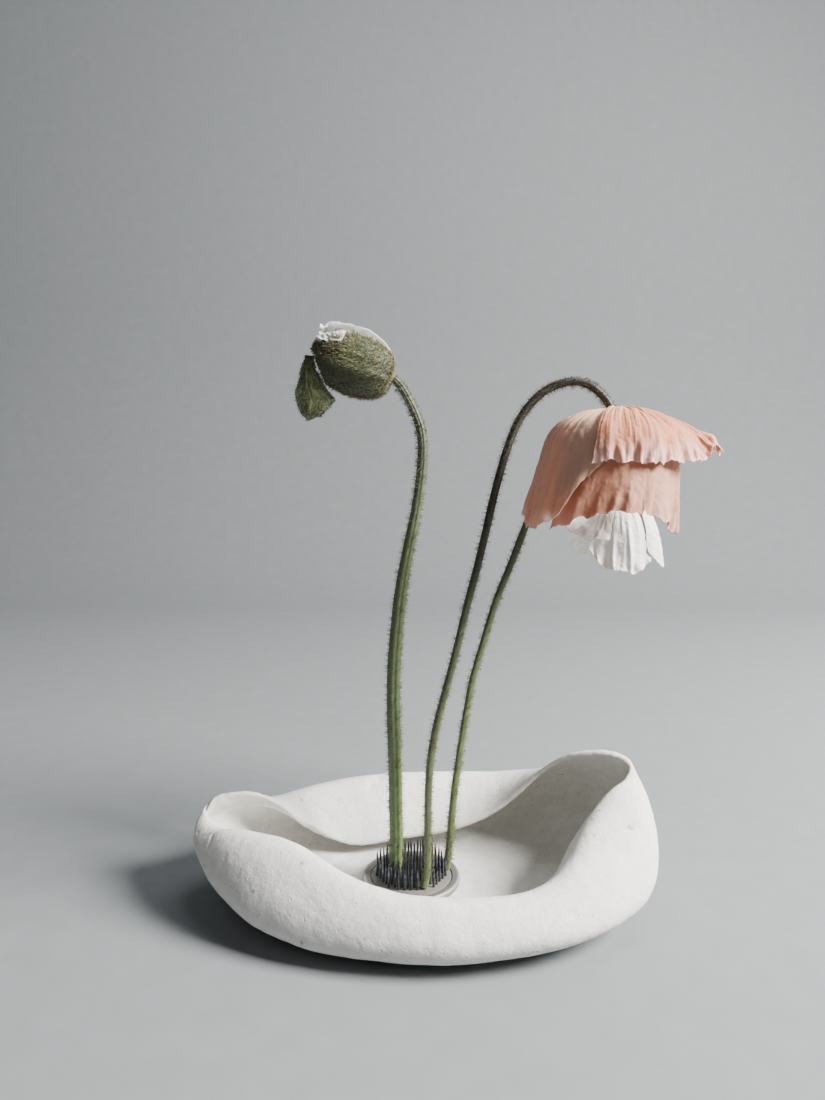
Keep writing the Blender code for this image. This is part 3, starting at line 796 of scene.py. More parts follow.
def build_needles():
    """The bed and its pins: round, straight for most of their height, ground to a point."""
    rng = np.random.default_rng(11)
    low, high = box_corners("kenzan_needles")
    radius = (high[0] - low[0]) / 2
    bottom, tip = low[2], high[2]
    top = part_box("kenzan_base")[1][2] / MM - BED_BELOW_PLATE
    bed = ((0.3, bottom), (radius - 0.3, bottom), (radius, bottom + 0.3), (radius, top - 0.25),
           (radius - 0.25, top), (0.3, top))
    body = skin(turned(bed, (0, 0), BED_SIDES))
    fields = {"edge": np.zeros(len(body[0]))}
    add_piece("holder_bed", body, cast_plate(), ("kenzan_needles",), fields, 50)

    parts, heights = [], []
    length = tip - top
    # Share of the height and share of the radius.
    shape = ((0.0, 1.25), (0.04, 0.98), (0.10, 0.92), (0.45, 0.88), (0.62, 0.80), (0.78, 0.58),
             (0.90, 0.32), (0.97, 0.14), (1.0, 0.03))
    for x, y in needle_places():
        tall = length * rng.uniform(0.82, 0.90)
        thick = NEEDLE_RADIUS * rng.uniform(1.0, 1.18)
        lean = rng.normal(0, 0.022, 2)
        rings = turned([(thick * r, top - 0.2 + tall * h) for h, r in shape], (x, y), 10)
        rings[..., :2] += lean * (rings[..., 2:] - top)
        parts.append(skin(rings))
        heights.append((rings[..., 2].ravel() - top) / length)
    fields = {"height": np.clip(np.concatenate(heights), 0, 1)}
    add_piece("holder_needles", gather(parts), needle_steel(), ("kenzan_needles",),
              fields, 45)


# ---------------------------------------------------------------- stems and hairs


class Tube:
    """A smooth round stem along a route, with a frame at each step for its skin and hairs."""

    def __init__(self, route, radii, steps, seed):
        fine = spline(route, 1200)
        travel = np.concatenate(([0], np.cumsum(np.linalg.norm(np.diff(fine, axis=0), axis=1))))
        even = np.linspace(0, travel[-1], steps)
        self.length = travel[-1]
        self.line = np.stack([np.interp(even, travel, fine[:, k]) for k in range(3)], axis=-1)
        self.along = even / travel[-1]
        slow = np.stack((even, 0 * even, 0 * even), axis=-1)
        wander = np.stack([smooth_noise(slow, 23, seed + k) for k in range(3)], axis=-1)
        ends = np.clip(np.minimum(self.along, 1 - self.along) * 12, 0, 1)
        self.line[:, :2] += 0.28 * (wander * ends[:, None])[:, :2]
        self.radius = np.interp(self.along, np.linspace(0, 1, len(radii)), radii)
        self.radius = self.radius * (1 + 0.035 * smooth_noise(slow, 9, seed + 4))
        self.tangent = unit(np.gradient(self.line, axis=0))
        self.side = np.zeros_like(self.line)
        side = np.array((1.0, 0, 0))
        for k, tangent in enumerate(self.tangent):
            side = side - tangent * np.dot(side, tangent)
            side /= np.linalg.norm(side)
            self.side[k] = side
        self.other = np.cross(self.tangent, self.side)

    def outward(self, step, turn):
        """The direction out of the stem at that step and angle, for arrays of both."""
        return (np.cos(turn)[..., None] * self.side[step]
                + np.sin(turn)[..., None] * self.other[step])

    def rings(self, profile, sides):
        """Rings of skin. The profile gives the share of the radius at each angle."""
        turns = np.linspace(0, 2 * pi, sides, endpoint=False)
        steps = np.arange(len(self.line))[:, None]
        out = self.outward(steps, np.broadcast_to(turns, (len(self.line), sides)))
        return self.line[:, None] + out * (self.radius[:, None] * profile(turns))[..., None]


def hairs(roots, directions, lengths, radius, bend, rng):
    """Points, faces and along field of curved three-sided hairs, thinning to a point."""
    count = len(roots)
    directions = unit(directions)
    helper = np.where(np.abs(directions[:, 2:]) > 0.8, (1.0, 0, 0), (0, 0, 1.0))
    side = unit(np.cross(directions, helper))
    other = np.cross(directions, side)
    sway = rng.normal(0, bend, (count, 2, 1)) * lengths[:, None, None]
    swing = sway[:, 0] * side + sway[:, 1] * other
    levels = ((0.0, 1.0, 0.0), (0.5, 0.72, 0.25))
    points = np.zeros((count, 7, 3))
    for level, (share, thin, swerve) in enumerate(levels):
        middle = roots + directions * (lengths * share)[:, None] + swing * swerve
        for k in range(3):
            turn = 2 * pi * k / 3
            reach = radius * thin * (cos(turn) * side + sin(turn) * other)
            points[:, 3 * level + k] = middle + reach
    points[:, 6] = roots + directions * lengths[:, None] + swing
    pattern = ((2, 1, 0), (0, 1, 4, 3), (1, 2, 5, 4), (2, 0, 3, 5), (3, 4, 6), (4, 5, 6), (5, 3, 6))
    faces = [[7 * k + corner for corner in face] for k in range(count) for face in pattern]
    along = np.tile((0, 0, 0, 0.5, 0.5, 0.5, 1), count)
    return points.reshape(-1, 3), faces, along


def add_hairs(name, roots, directions, lengths, radius, bend, rng, look):
    points, faces, along = hairs(roots, directions, lengths, radius, bend, rng)
    add_piece(name, (points, faces), look, fields={"along": along})


def stem_hairs(name, tube, profile, count, length, seed, dense_end, look):
    """Hairs that stand out all round a stem, most of them a little upwards.

    The dense end is the share of them that crowds towards the flower.
    """
    rng = np.random.default_rng(seed)
    share = rng.uniform(0.012, 0.985, count)
    thick = rng.uniform(0, 1, count) < dense_end
    share = np.where(thick, 1 - 0.25 * rng.uniform(0, 1, count) ** 1.5, share)
    step = np.minimum((share * len(tube.line)).astype(int), len(tube.line) - 2)
    turn = rng.uniform(0, 2 * pi, count)
    out = tube.outward(step, turn)
    reach = tube.radius[step] * profile(turn) - HAIR_ROOT_DEPTH
    roots = tube.line[step] + out * reach[:, None]
    directions = out + tube.tangent[step] * rng.normal(0.12, 0.22, count)[:, None]
    directions += rng.normal(0, 0.12, (count, 3))
    lengths = length * rng.uniform(0.45, 1.15, count)
    add_hairs(name, roots, directions, lengths, HAIR_RADIUS, 0.12, rng, look)


def round_profile(turns):
    """Round, with the faintest trace of three sides."""
    return 1 + 0.02 * np.cos(3 * turns + 0.4)


def grooved_profile(turns):
    """A deep groove near the front, a shallow one behind, and a slightly oval section."""
    turns = turns % (2 * pi)
    front = 0.16 * hill(turns, 1.5 * pi + 0.25, 0.22)
    back = 0.08 * hill(turns, 2.2, 0.3)
    return 1.02 + 0.02 * np.cos(2 * turns) - front - back


def add_stem(name, node, tube, profile, sides, look):
    """The skin of a stem, with fields for the place along it, round it and in its grooves."""
    turns = np.linspace(0, 2 * pi, sides, endpoint=False)
    level = profile(turns)
    groove = (level - level.min()) / (np.ptp(level) + 1e-9)
    fields = {
        "along": np.repeat(tube.along, sides),
        "across": np.tile(np.abs(np.linspace(-1, 1, sides)), len(tube.line)),
        "groove": np.tile(groove, len(tube.line)),
    }
    add_piece(name, skin(tube.rings(profile, sides)), look, (node,), fields, 60)


def build_stems():
    """The three stems, each with its skin and its hairs."""
    bud_radii = [BUD_STEM_RADIUS * share for share in (1, 1, 1, 0.98, 0.9, 0.74, 0.62, 0.56)]
    flower_radii = [FLOWER_STEM_RADIUS * share for share in (1, 0.97, 0.97, 1, 1.02)]
    bud_skin = stem_skin("bud_stem_skin", (0.070, 0.115, 0.038), (0.078, 0.110, 0.042),
                         (0.036, 0.042, 0.026), 0.74, ridge=0.6)
    pink_skin = stem_skin("pink_stem_skin", (0.092, 0.118, 0.044), (0.062, 0.074, 0.038),
                          (0.022, 0.013, 0.016), 0.50)
    white_skin = stem_skin("white_stem_skin", (0.115, 0.150, 0.055), (0.085, 0.110, 0.044),
                           (0.060, 0.074, 0.034), 0.85)
    bud_hairs = bristle_look("bud_stem_bristles", (0.040, 0.045, 0.022), (0.12, 0.12, 0.065))
    flower_hairs = bristle_look("flower_stem_bristles", (0.048, 0.050, 0.024),
                                (0.13, 0.13, 0.070))
    bud = Tube(BUD_STEM_ROUTE, bud_radii, 420, 21)
    pink = Tube(PINK_STEM_ROUTE, flower_radii, 460, 41)
    white = Tube(WHITE_STEM_ROUTE, flower_radii, 420, 51)
    # The hairs of each stem have a count, a length, a seed and a dense end.
    for plant, tube, profile, sides, skin_look, hair_look, hair_numbers in (
        ("bud", bud, grooved_profile, 40, bud_skin, bud_hairs, (4600, 2.5, 31, 0.12)),
        ("pink", pink, round_profile, 28, pink_skin, flower_hairs, (4400, 2.5, 32, 0.10)),
        ("white", white, round_profile, 28, white_skin, flower_hairs, (4000, 2.4, 33, 0.0)),
    ):
        add_stem(f"{plant}_stalk", f"{plant}_stem", tube, profile, sides, skin_look)
        stem_hairs(f"{plant}_stalk_hairs", tube, profile, *hair_numbers, hair_look)


# ---------------------------------------------------------------- flowers


class Bloom:
    """A frame for petals: an origin at the receptacle, an axis that they open along, and the
    meridian that they follow, as (radius, depth along the axis) pairs.

    Azimuth 0 is the direction of `zero`, and azimuth 90 is axis x zero.
    """

    def __init__(self, origin, axis, zero, meridian):
        self.origin = np.array(origin, float)
        self.axis = np.array(axis, float) / np.linalg.norm(axis)
        across = np.array(zero, float) - self.axis * np.dot(zero, self.axis)
        self.across = across / np.linalg.norm(across)
        self.side = np.cross(self.axis, self.across)
        self.meridian = spline(meridian, 160)
        steps = np.linalg.norm(np.diff(self.meridian, axis=0), axis=1)
        self.travel = np.concatenate(([0], np.cumsum(steps)))
        self.slope = np.gradient(self.meridian, self.travel, axis=0)

    def at(self, travel, azimuth, layer=0.0, flare=0.0):
        """The points that far along the meridian, `layer` outside it and spread by `flare`."""
        radius, depth = (np.interp(travel, self.travel, self.meridian[:, k]) for k in (0, 1))
        d_radius, d_depth = (np.interp(travel, self.travel, self.slope[:, k]) for k in (0, 1))
        radius = radius + layer * d_depth + flare
        depth = depth - layer * d_radius - 0.35 * flare
        turn = np.radians(azimuth)
        around = np.cos(turn)[..., None] * self.across + np.sin(turn)[..., None] * self.side
        return self.origin + radius[..., None] * around + depth[..., None] * self.axis

    def turned(self, profile, sides, ribs=0, rib_depth=0.0):
        """Rings turned round the axis from (radius, depth) pairs, ribbed if asked."""
        turns = np.linspace(0, 2 * pi, sides, endpoint=False)
        around = (np.cos(turns)[:, None] * self.across + np.sin(turns)[:, None] * self.side)
        ribbed = 1 + rib_depth * np.cos(ribs * turns)
        return np.array([self.origin + depth * self.axis + (radius * ribbed)[:, None] * around
                         for radius, depth in profile])


@dataclass
class Petal:
    """How one petal lies and how it is folded.

    The azimuths are its two sides, and the layer is how far outside the meridian it lies, at its
    base and further out. The outline is its length and flare at even steps from the first side
    to the second, and the petal begins at its start, that far from the middle of the bloom.
    Waves is the number of broad folds across it, and the shape is its rows and columns of points.

    A curl is (place across, width, place along, push) and lifts that part outwards; a notch is
    (place across, width, depth); a frill is (place across, width, height) and ruffles the hem.
    """

    azimuths: tuple
    layer: tuple
    outline: tuple
    seed: int
    waves: float
    shape: tuple = (110, 230)
    pleats: float = 0.35
    broad: float = 1.0
    ruffle: float = 0.9
    ragged: float = 0.9
    crumple: float = 0.25
    curls: tuple = ()
    notches: tuple = ()
    frills: tuple = ()
    start: float = 0.0


def petal_surface(bloom, petal):
    """The grid of points of a petal, and the fields that colour it."""
    rows, columns = petal.shape
    u = np.linspace(0, 1, columns)[None, :] * np.ones((rows, 1))
    v = np.linspace(0, 1, rows)[:, None] * np.ones((1, columns))
    wave = u * petal.waves
    seed = petal.seed

    # The hem: its length at each place across, torn and scalloped.
    lengths, flares = spline(petal.outline, columns).T
    hem = np.stack((wave[0], 0 * wave[0], 0 * wave[0]), axis=-1)
    cusps = 0.25 - np.abs(smooth_noise(hem, 1.3, seed))
    jag = (3.2 * cusps + 1.7 * smooth_noise(hem, 0.5, seed + 1)
           + 0.9 * smooth_noise(hem, 0.17, seed + 2)) * petal.ragged
    for place, width, depth in petal.notches:
        jag = jag - depth * hill(u[0], place, width)
    travel = petal.start + v * (lengths + jag - petal.start)

    # Fine pleats gathered at the base, broad folds that open outwards, and a ruffled hem.
    sway = np.stack((0.35 * wave, 1.6 * v, 0 * u), axis=-1)
    wander = wave + 1.1 * v * smooth_noise(sway, 1.0, seed + 10)
    flat = np.stack((wander, 0.9 * v, 0 * u), axis=-1)
    fine = 1 - PLEAT_SLOPE * np.abs(smooth_noise(flat, 0.85, seed + 3))
    fine += 0.7 * (1 - PLEAT_SLOPE * np.abs(smooth_noise(flat, 0.36, seed + 4)))
    fine *= ramped(v, 0.0, 0.12) * (1 - 0.85 * ramped(v, 0.25, 0.85))
    ridges = 0.55 - 2.2 * np.abs(smooth_noise(flat, 2.3, seed + 5))
    broad = (0.6 * smooth_noise(flat, 1.3, seed + 11) + 0.55 * ridges) * (0.15 + 0.85 * v**1.3)
    crisp = smooth_noise(flat * (1, 2.2, 1), 0.55, seed + 6) * ramped(v, 0.70, 1.0)
    push = petal.pleats * fine + petal.broad * broad * FOLD_HEIGHT
    push = push + petal.ruffle * crisp * RUFFLE_HEIGHT
    for place, width, height in petal.frills:
        near = hill(u, place, width) * ramped(v, 0.74, 1.0)
        push = push + height * near * smooth_noise(flat * (1, 3, 1), 0.33, seed + 12)
    for place, width, start, lift in petal.curls:
        push = push + lift * hill(u, place, width) * ramped(v, start, 1.0)

    base, further = petal.layer
    layer = base + (further - base) * np.clip(v / BASE_SHARE, 0, 1)
    azimuth = petal.azimuths[0] + u * (petal.azimuths[1] - petal.azimuths[0])
    side = np.stack((9 * v, 3 * np.round(u), 0 * u), axis=-1)
    azimuth = azimuth + SWAY * smooth_noise(side, 1.3, seed + 7) * np.abs(2 * u - 1) ** 6 * v
    surface = bloom.at(travel, azimuth, layer, flares * v**3)
    normal = sheet_normals(surface)
    if np.sum(normal * (surface - bloom.origin)) < 0:
        normal = -normal
    creases = crease_noise(surface, 7.5, seed + 8) - 0.5
    creases += 0.5 * (crease_noise(surface, 2.6, seed + 9) - 0.5)
    push = push + petal.crumple * creases * ramped(v, 0.05, 0.5)
    surface = surface + normal * push[..., None]
    fields = {
        "along": travel / np.max(lengths),
        "across": u * petal.waves / 10.0,
        # The fold field carries the painted shade in the troughs of the folds and the painted
        # highlights on their crests.
        "fold": np.clip(0.5 + 0.28 * fine + 0.55 * broad + 0.3 * crisp, 0, 1),
        "hem": np.exp(-(1 - v) * lengths / HEM_WIDTH),
    }
    return surface, fields


def add_petal(name, node, bloom, petal, look):
    """A petal that grows thinner towards its hem."""
    surface, fields = petal_surface(bloom, petal)
    thickness = PETAL_THICKNESS * (1 - 0.35 * np.linspace(0, 1, len(surface)))[:, None]
    add_sheet(name, node, surface, thickness, look, fields)


def small_ball(centre, axis, long, wide):
    """A little eight-sided oval body along an axis."""
    axis = axis / np.linalg.norm(axis)
    helper = np.array((1.0, 0, 0)) if abs(axis[2]) > 0.8 else np.array((0, 0, 1.0))
    side = unit(np.cross(axis, helper))
    other = np.cross(axis, side)
    turns = np.linspace(0, 2 * pi, 8, endpoint=False)[:, None]
    rings = []
    for share in (-0.95, -0.6, 0.0, 0.6, 0.95):
        wide_here = wide * np.sqrt(1 - share**2)
        rings.append(centre + axis * share * long
                     + wide_here * (np.cos(turns) * side + np.sin(turns) * other))
    return skin(rings)


def stamen_ring(bloom, count, inside, reach, low, high, seed):
    """Filaments from round the ovary, and an anther on the end of each."""
    rng = np.random.default_rng(seed)
    filaments, anthers = [], []
    for k in range(count):
        turn = 2 * pi * k / count + rng.normal(0, 0.05)
        around = cos(turn) * bloom.across + sin(turn) * bloom.side
        start = bloom.origin + bloom.axis * low + around * inside
        end_depth = rng.uniform(high - 2.5, high + 1.0)
        end_reach = rng.uniform(inside + 1.0, reach)
        end = bloom.origin + bloom.axis * end_depth + around * end_reach
        middle = (start + end) / 2 + around * rng.uniform(0.0, 0.8)
        tube = Tube((start, middle, end), (0.16, 0.13, 0.11), 6, seed + 7 * k)
        filaments.append(skin(tube.rings(lambda turns: np.ones_like(turns), 5)))
        tilt = unit(bloom.axis + around * rng.normal(0.4, 0.5) + rng.normal(0, 0.2, 3))
        anthers.append(small_ball(end + tilt * 0.5, tilt, 0.95, 0.42))
    return gather(filaments), gather(anthers)


def build_core(prefix, bloom, r, length, stamen_reach, stamens, seed):
    """The receptacle, the stamens, and an ovary of that radius and length with its stigma."""
    profile = ((0.4, -0.7), (1.9, -0.65), (2.5, -0.35), (2.95, 0.1), (3.05, 0.9), (2.9, 1.5),
               (2.4, 2.05), (0.4, 2.2))
    green = plain_green(f"{prefix}_receptacle_skin", (0.13, 0.17, 0.05), (0.26, 0.31, 0.11))
    add_piece(f"{prefix}_cup", skin(bloom.turned(profile, 48, 8, 0.03)), green,
              (f"{prefix}_receptacle",))
    profile = [(0.2, 2.5), (1.4, 2.55)]
    for share in np.linspace(0.1, 1, 14):
        swell = 1.55 + (r - 1.55) * np.sin(pi * min(share / 0.8, 1) / 2) ** 1.3
        profile.append((swell * (1 - 0.12 * max(share - 0.8, 0) / 0.2), 2.6 + (length - 2.6) * share))
    profile.append((0.2, length))
    flesh = plain_green(f"{prefix}_ovary_skin", OVARY_DARK, OVARY_LIGHT)
    add_piece(f"{prefix}_seed_box", skin(bloom.turned(profile, 96, 8, 0.05)), flesh,
              (f"{prefix}_ovary",))
    profile = ((0.3, length + 0.3), (0.8 * r, length + 0.32), (1.08 * r, length + 0.7),
               (1.1 * r, length + 0.95), (0.95 * r, length + 1.25), (0.5 * r, length + 1.5),
               (0.2 * r, length + 1.8), (0.05 * r, length + 1.85))
    gold = pollen(f"{prefix}_stigma_pollen", (0.45, 0.38, 0.10), (0.68, 0.60, 0.24))
    add_piece(f"{prefix}_crown", skin(bloom.turned(profile, 96, 8, 0.07)), gold,
              (f"{prefix}_stigma",))
    filaments, anthers = stamen_ring(bloom, stamens, r + 1.0, stamen_reach - 0.6, 0.5 * length,
                                     length + 0.5, seed)
    pale = plain_green(f"{prefix}_filament_skin", (0.62, 0.60, 0.34), (0.78, 0.76, 0.52))
    add_piece(f"{prefix}_filaments", filaments, pale, (f"{prefix}_stamens",))
    gold = pollen(f"{prefix}_anther_pollen", (0.62, 0.42, 0.08), (0.85, 0.66, 0.20))
    add_piece(f"{prefix}_anthers", anthers, gold)


def bloom_origin(prefix, axis):
    """The receptacle's place in the frame: its box is centred a little way along the axis."""
    return box_centre(f"{prefix}_receptacle") - 0.8 * unit(np.array(axis, float))


def build_pink_flower():
    """The large nodding flower. Azimuth 0 is right, 90 front, 180 left and 270 back."""
    axis = (-0.06, -0.04, -1)
    bloom = Bloom(
        bloom_origin("pink", axis), axis, (1, 0, 0),
        ((3.8, 1.4), (8, -0.4), (14, -0.2), (20, 2), (26, 5.5), (31, 11.5), (33.5, 20),
         (35.5, 31), (38, 45), (39.5, 58)),
    )
    glow = (1.0, 0.54, 0.36)
    top_look = petal_look("petal_pink_top", (0.66, 0.31, 0.07), (0.49, 0.182, 0.092),
                          (0.78, 0.46, 0.42), (0.36, 0.12, 0.06), glow)
    # Painted shade: the side petal is painted duller and browner than the upper one for its side
    # turned from the light, and the near petal darker and duller for the shadow of the upper petal.
    left_look = petal_look("petal_pink_left_shaded", (0.66, 0.33, 0.14), (0.61, 0.345, 0.250),
                           (0.74, 0.48, 0.42), (0.46, 0.22, 0.15), glow, 0.85)
    front_look = petal_look("petal_peach_front_shaded", (0.54, 0.25, 0.15), (0.45, 0.225, 0.155),
                            (0.64, 0.38, 0.33), (0.38, 0.165, 0.10), glow, 0.84)
    back_look = petal_look("petal_pink_back", (0.62, 0.38, 0.26), (0.56, 0.33, 0.25),
                           (0.70, 0.50, 0.45), (0.40, 0.22, 0.16), glow)
    top = Petal((-44, 117), (1.4, 1.4),
                ((40, 2), (43, 8), (42, 15), (43.5, 6), (44.5, 1), (45, 0), (47, 0)),
                101, 16, (140, 350), pleats=0.50, broad=0.95, ruffle=1.3, ragged=0.95,
                curls=((1.0, 0.07, 0.15, 2.4), (0.36, 0.03, 0.8, -1.5)),
                frills=((0.38, 0.08, 4.0), (0.85, 0.3, 0.4)),
                notches=((0.345, 0.007, 3.6), (0.385, 0.008, 3.2), (0.43, 0.010, 2.2)))
    front = Petal((6, 142), (-2.2, -1.5),
                  ((62, -4.6), (72, -6.6), (70, -3.6), (68.5, 0), (66, 0.2), (70.5, 0.3),
                   (78, 0.2)),
                  111, 9, (150, 320), pleats=0.26, broad=0.9, ruffle=1.0, ragged=1.1,
                  curls=((1.0, 0.06, 0.45, 2.6), (0.20, 0.04, 0.5, 1.6), (0.27, 0.03, 0.5, -0.9),
                         (0.10, 0.05, 0.85, 1.8)),
                  frills=((0.13, 0.07, 3.6), (0.6, 0.3, 0.8)),
                  notches=((0.15, 0.010, 2.5), (0.54, 0.006, 1.6)))
    left = Petal((106, 236), (0, 0),
                 ((43, 0.3), (51, 0.4), (66, 2.2), (78.5, 3.2), (79, 3.2), (77, 3.2), (76, 3.1),
                  (72, 3), (68, 2.6), (64, 2.6), (60, 2.6)),
                 121, 9, (150, 300), pleats=0.34, broad=0.80, ruffle=1.1, ragged=1.3,
                 curls=((0.34, 0.16, 0.86, 1.3), (0.58, 0.05, 0.9, -1.5)))
    back = Petal((190, 366), (-3.0, -3.0), ((58, 0), (62, 1), (62, 1), (62, 0), (62, -6)),
                 131, 10, (110, 300), pleats=0.26, broad=0.6, ruffle=0.7)
    add_petal("pink_petal_upper", "pink_petal_top", bloom, top, top_look)
    add_petal("pink_petal_near", "pink_petal_front", bloom, front, front_look)
    add_petal("pink_petal_side", "pink_petal_left", bloom, left, left_look)
    add_petal("pink_petal_far", "pink_petal_back", bloom, back, back_look)
    build_core("pink", bloom, 5.0, 15.0, 11.0, 84, 61)


def build_white_flower():
    """The smaller flower that hangs behind. Azimuths run as on the pink one."""
    axis = (0.03, -0.06, -1)
    bloom = Bloom(
        bloom_origin("white", axis), axis, (1, 0, 0),
        ((4.6, 1.6), (7.4, 0.6), (11.5, 2), (15, 6.5), (17.5, 14), (18.8, 23), (19, 33), (19, 42)),
    )
    glow = (1.0, 0.86, 0.78)
    look = petal_look("petal_white_hanging", (0.62, 0.66, 0.42), (0.86, 0.82, 0.78),
                      (0.88, 0.81, 0.78), (0.74, 0.66, 0.61), glow)
    grey = petal_look("petal_white_shaded", (0.55, 0.58, 0.40), (0.68, 0.66, 0.62),
                      (0.72, 0.69, 0.65), (0.56, 0.52, 0.48), glow)
    left = Petal((118, 196), (1.4, 1.4), ((27, 6), (28, 11), (21, 14), (19, 12)),
                 141, 3.2, (90, 170), pleats=0.2, broad=0.8, ruffle=1.1, ragged=0.7, crumple=0.12,
                 frills=((0.5, 0.8, 0.5),))
    centre = Petal((52, 150), (-0.2, -0.2), ((36, 0), (42, 0), (42, 1), (40, 3), (32, 5)),
                   151, 4.5, (130, 240), pleats=0.2, ruffle=1.0, ragged=0.6, crumple=0.3,
                   curls=((0.40, 0.04, 0.1, 1.8), (0.66, 0.035, 0.2, 1.5), (0.86, 0.06, 0.3, 1.2)),
                   frills=((0.5, 0.8, 0.9),))
    right = Petal((-50, 60), (1.2, 1.2), ((32, 0), (38, 0), (41, 1), (32, 0)),
                  161, 3.6, (110, 200), pleats=0.2, broad=0.8, ruffle=0.6, ragged=0.7,
                  crumple=0.3)
    back = Petal((182, 318), (-1.6, -1.6), ((31, 9), (37, 8), (38, 2), (36, 0)),
                 171, 4.5, (90, 200), pleats=0.2, broad=0.7, ruffle=0.6, ragged=0.7)
    add_petal("white_petal_side", "white_petal_left", bloom, left, look)
    add_petal("white_petal_near", "white_petal_centre", bloom, centre, look)
    add_petal("white_petal_far_side", "white_petal_right", bloom, right, look)
    add_petal("white_petal_far", "white_petal_back", bloom, back, grey)
    build_core("white", bloom, 3.2, 10.0, 7.0, 56, 71)


# ---------------------------------------------------------------- bud


def sepal_hairs(name, grid, outward, lean, count, length, look, seed):
    """Bristles on the outside of a calyx valve, which lean towards its tip."""
    rng = np.random.default_rng(seed)
    rows, columns = grid.shape[:2]
    row = (rng.uniform(0, 1, count) * (rows - 1)).astype(int)
    column = (rng.uniform(0, 1, count) * (columns - 1)).astype(int)
    out = outward[row, column]
    along = unit(np.gradient(grid, axis=0))[row, column]
    roots = grid[row, column] + out * (SEPAL_THICKNESS / 2 - 0.06)
    directions = out + along * rng.normal(lean, 0.25, count)[:, None]
    directions += rng.normal(0, 0.15, (count, 3))
    lengths = length * rng.uniform(0.5, 1.15, count)
    add_hairs(name, roots, directions, lengths, 0.11, 0.16, rng, look)


def build_clinging_sepal(bloom, look, hair_look, pale_hair_look):
    """The valve that still wraps the front and underside of the bud."""
    petal = Petal((-215, -14), (0, 0), ((34, 0), (36, 0), (41, 0), (48.5, 0), (49.5, 0), (47.5, 0)),
                  181, 6, (120, 240), pleats=0.10, broad=0.25, ruffle=0.2, ragged=0.35,
                  crumple=0.3)
    grid, fields = petal_surface(bloom, petal)
    v = fields["along"]
    u = np.linspace(0, 1, grid.shape[1])[None, :] * np.ones((grid.shape[0], 1))
    # A rib from the stem to the tip, and the hollow beside it.
    rib = hill(u, 0.56, 0.035) - 0.8 * hill(u, 0.50, 0.05)
    outward = sheet_normals(grid)
    centre = bloom.origin + 20 * bloom.axis
    if np.sum(outward * (grid - centre)) < 0:
        outward = -outward
    grid = grid + outward * (0.7 * rib * np.sin(pi * np.clip(v, 0, 1)))[..., None]
    shade = np.clip((0.60 - u) / 0.16, 0, 1) * np.clip((v - 0.15) / 0.3, 0, 1)
    blush = np.clip((v - 0.62) / 0.25, 0, 1) * np.clip((u - 0.50) / 0.2, 0, 1)
    fields.update(shade=shade, blush=blush)
    add_sheet("bud_valve", "bud_sepal_clinging", grid, SEPAL_THICKNESS, look, fields)
    sepal_hairs("bud_valve_hairs", grid, outward, 0.35, 3200, 2.3, hair_look, 182)
    sepal_hairs("bud_valve_pale_hairs", grid, outward, 1.5, 1500, 2.4, pale_hair_look, 183)


def build_loose_sepal(look, hair_look, pale_hair_look):
    """The valve that has dropped open: a curled, boat-shaped leaf hanging beside the bud."""
    # Height, left edge, right edge and how far the middle bellies towards the front.
    sections = (
        (272.6, -49.4, -46.8, 0.5), (267.5, -51.8, -45.4, 1.6), (262.0, -53.2, -43.4, 3.0),
        (256.5, -54.1, -39.8, 3.8), (251.6, -54.4, -36.6, 4.0), (247.6, -53.0, -40.6, 3.0),
        (244.2, -49.6, -43.6, 1.4),
    )
    rows, columns = 90, 70
    profile = spline(sections, rows)
    u = np.linspace(-1, 1, columns)
    height, left, right, belly = (profile[:, k:k + 1] for k in range(4))
    grid = np.stack(((left + right) / 2 + (right - left) / 2 * u, -1.0 - belly * (1 - u * u),
                     np.broadcast_to(height, (rows, columns))), axis=-1)
    v = np.linspace(0, 1, rows)[:, None] * np.ones((1, columns))
    crumple = 0.5 * smooth_noise(grid, 7, 191) + 0.25 * smooth_noise(grid, 3, 192)
    rib = 0.7 * hill(u, -0.25, 0.10)
    outward = sheet_normals(grid)
    outward *= np.where(outward[..., 1:2] > 0, -1, 1)
    grid = grid + outward * (crumple + rib * np.sin(pi * v))[..., None]
    edge = smooth_noise(grid, 6, 193) + 0.7 * smooth_noise(grid, 2.4, 197)
    grid[..., 0] += 1.1 * edge * np.abs(u) ** 3 * np.sign(u)
    grid[..., 2] -= (2.4 * smooth_noise(grid, 4.5, 198) + 0.6) * v**5
    grid[..., 1] -= 1.5 * np.abs(u) ** 4 * (smooth_noise(grid, 5, 199) + 0.35)
    fields = {"along": v, "across": (u[None, :] + 1) / 4 * np.ones((rows, 1)),
              "shade": 0.4 * ramped(np.abs(u), 0.5, 1) + 0.35 * smooth_noise(grid, 6, 194),
              "blush": np.clip(1 - v / 0.16, 0, 1) * 0.5}
    add_sheet("bud_dropped_valve", "bud_sepal_loose", grid, SEPAL_THICKNESS, look,
              fields)
    sepal_hairs("bud_dropped_valve_hairs", grid, outward, 0.3, 1300, 1.9, hair_look, 195)
    sepal_hairs("bud_dropped_valve_pale_hairs", grid, outward, 1.0, 320, 1.6, pale_hair_look, 196)


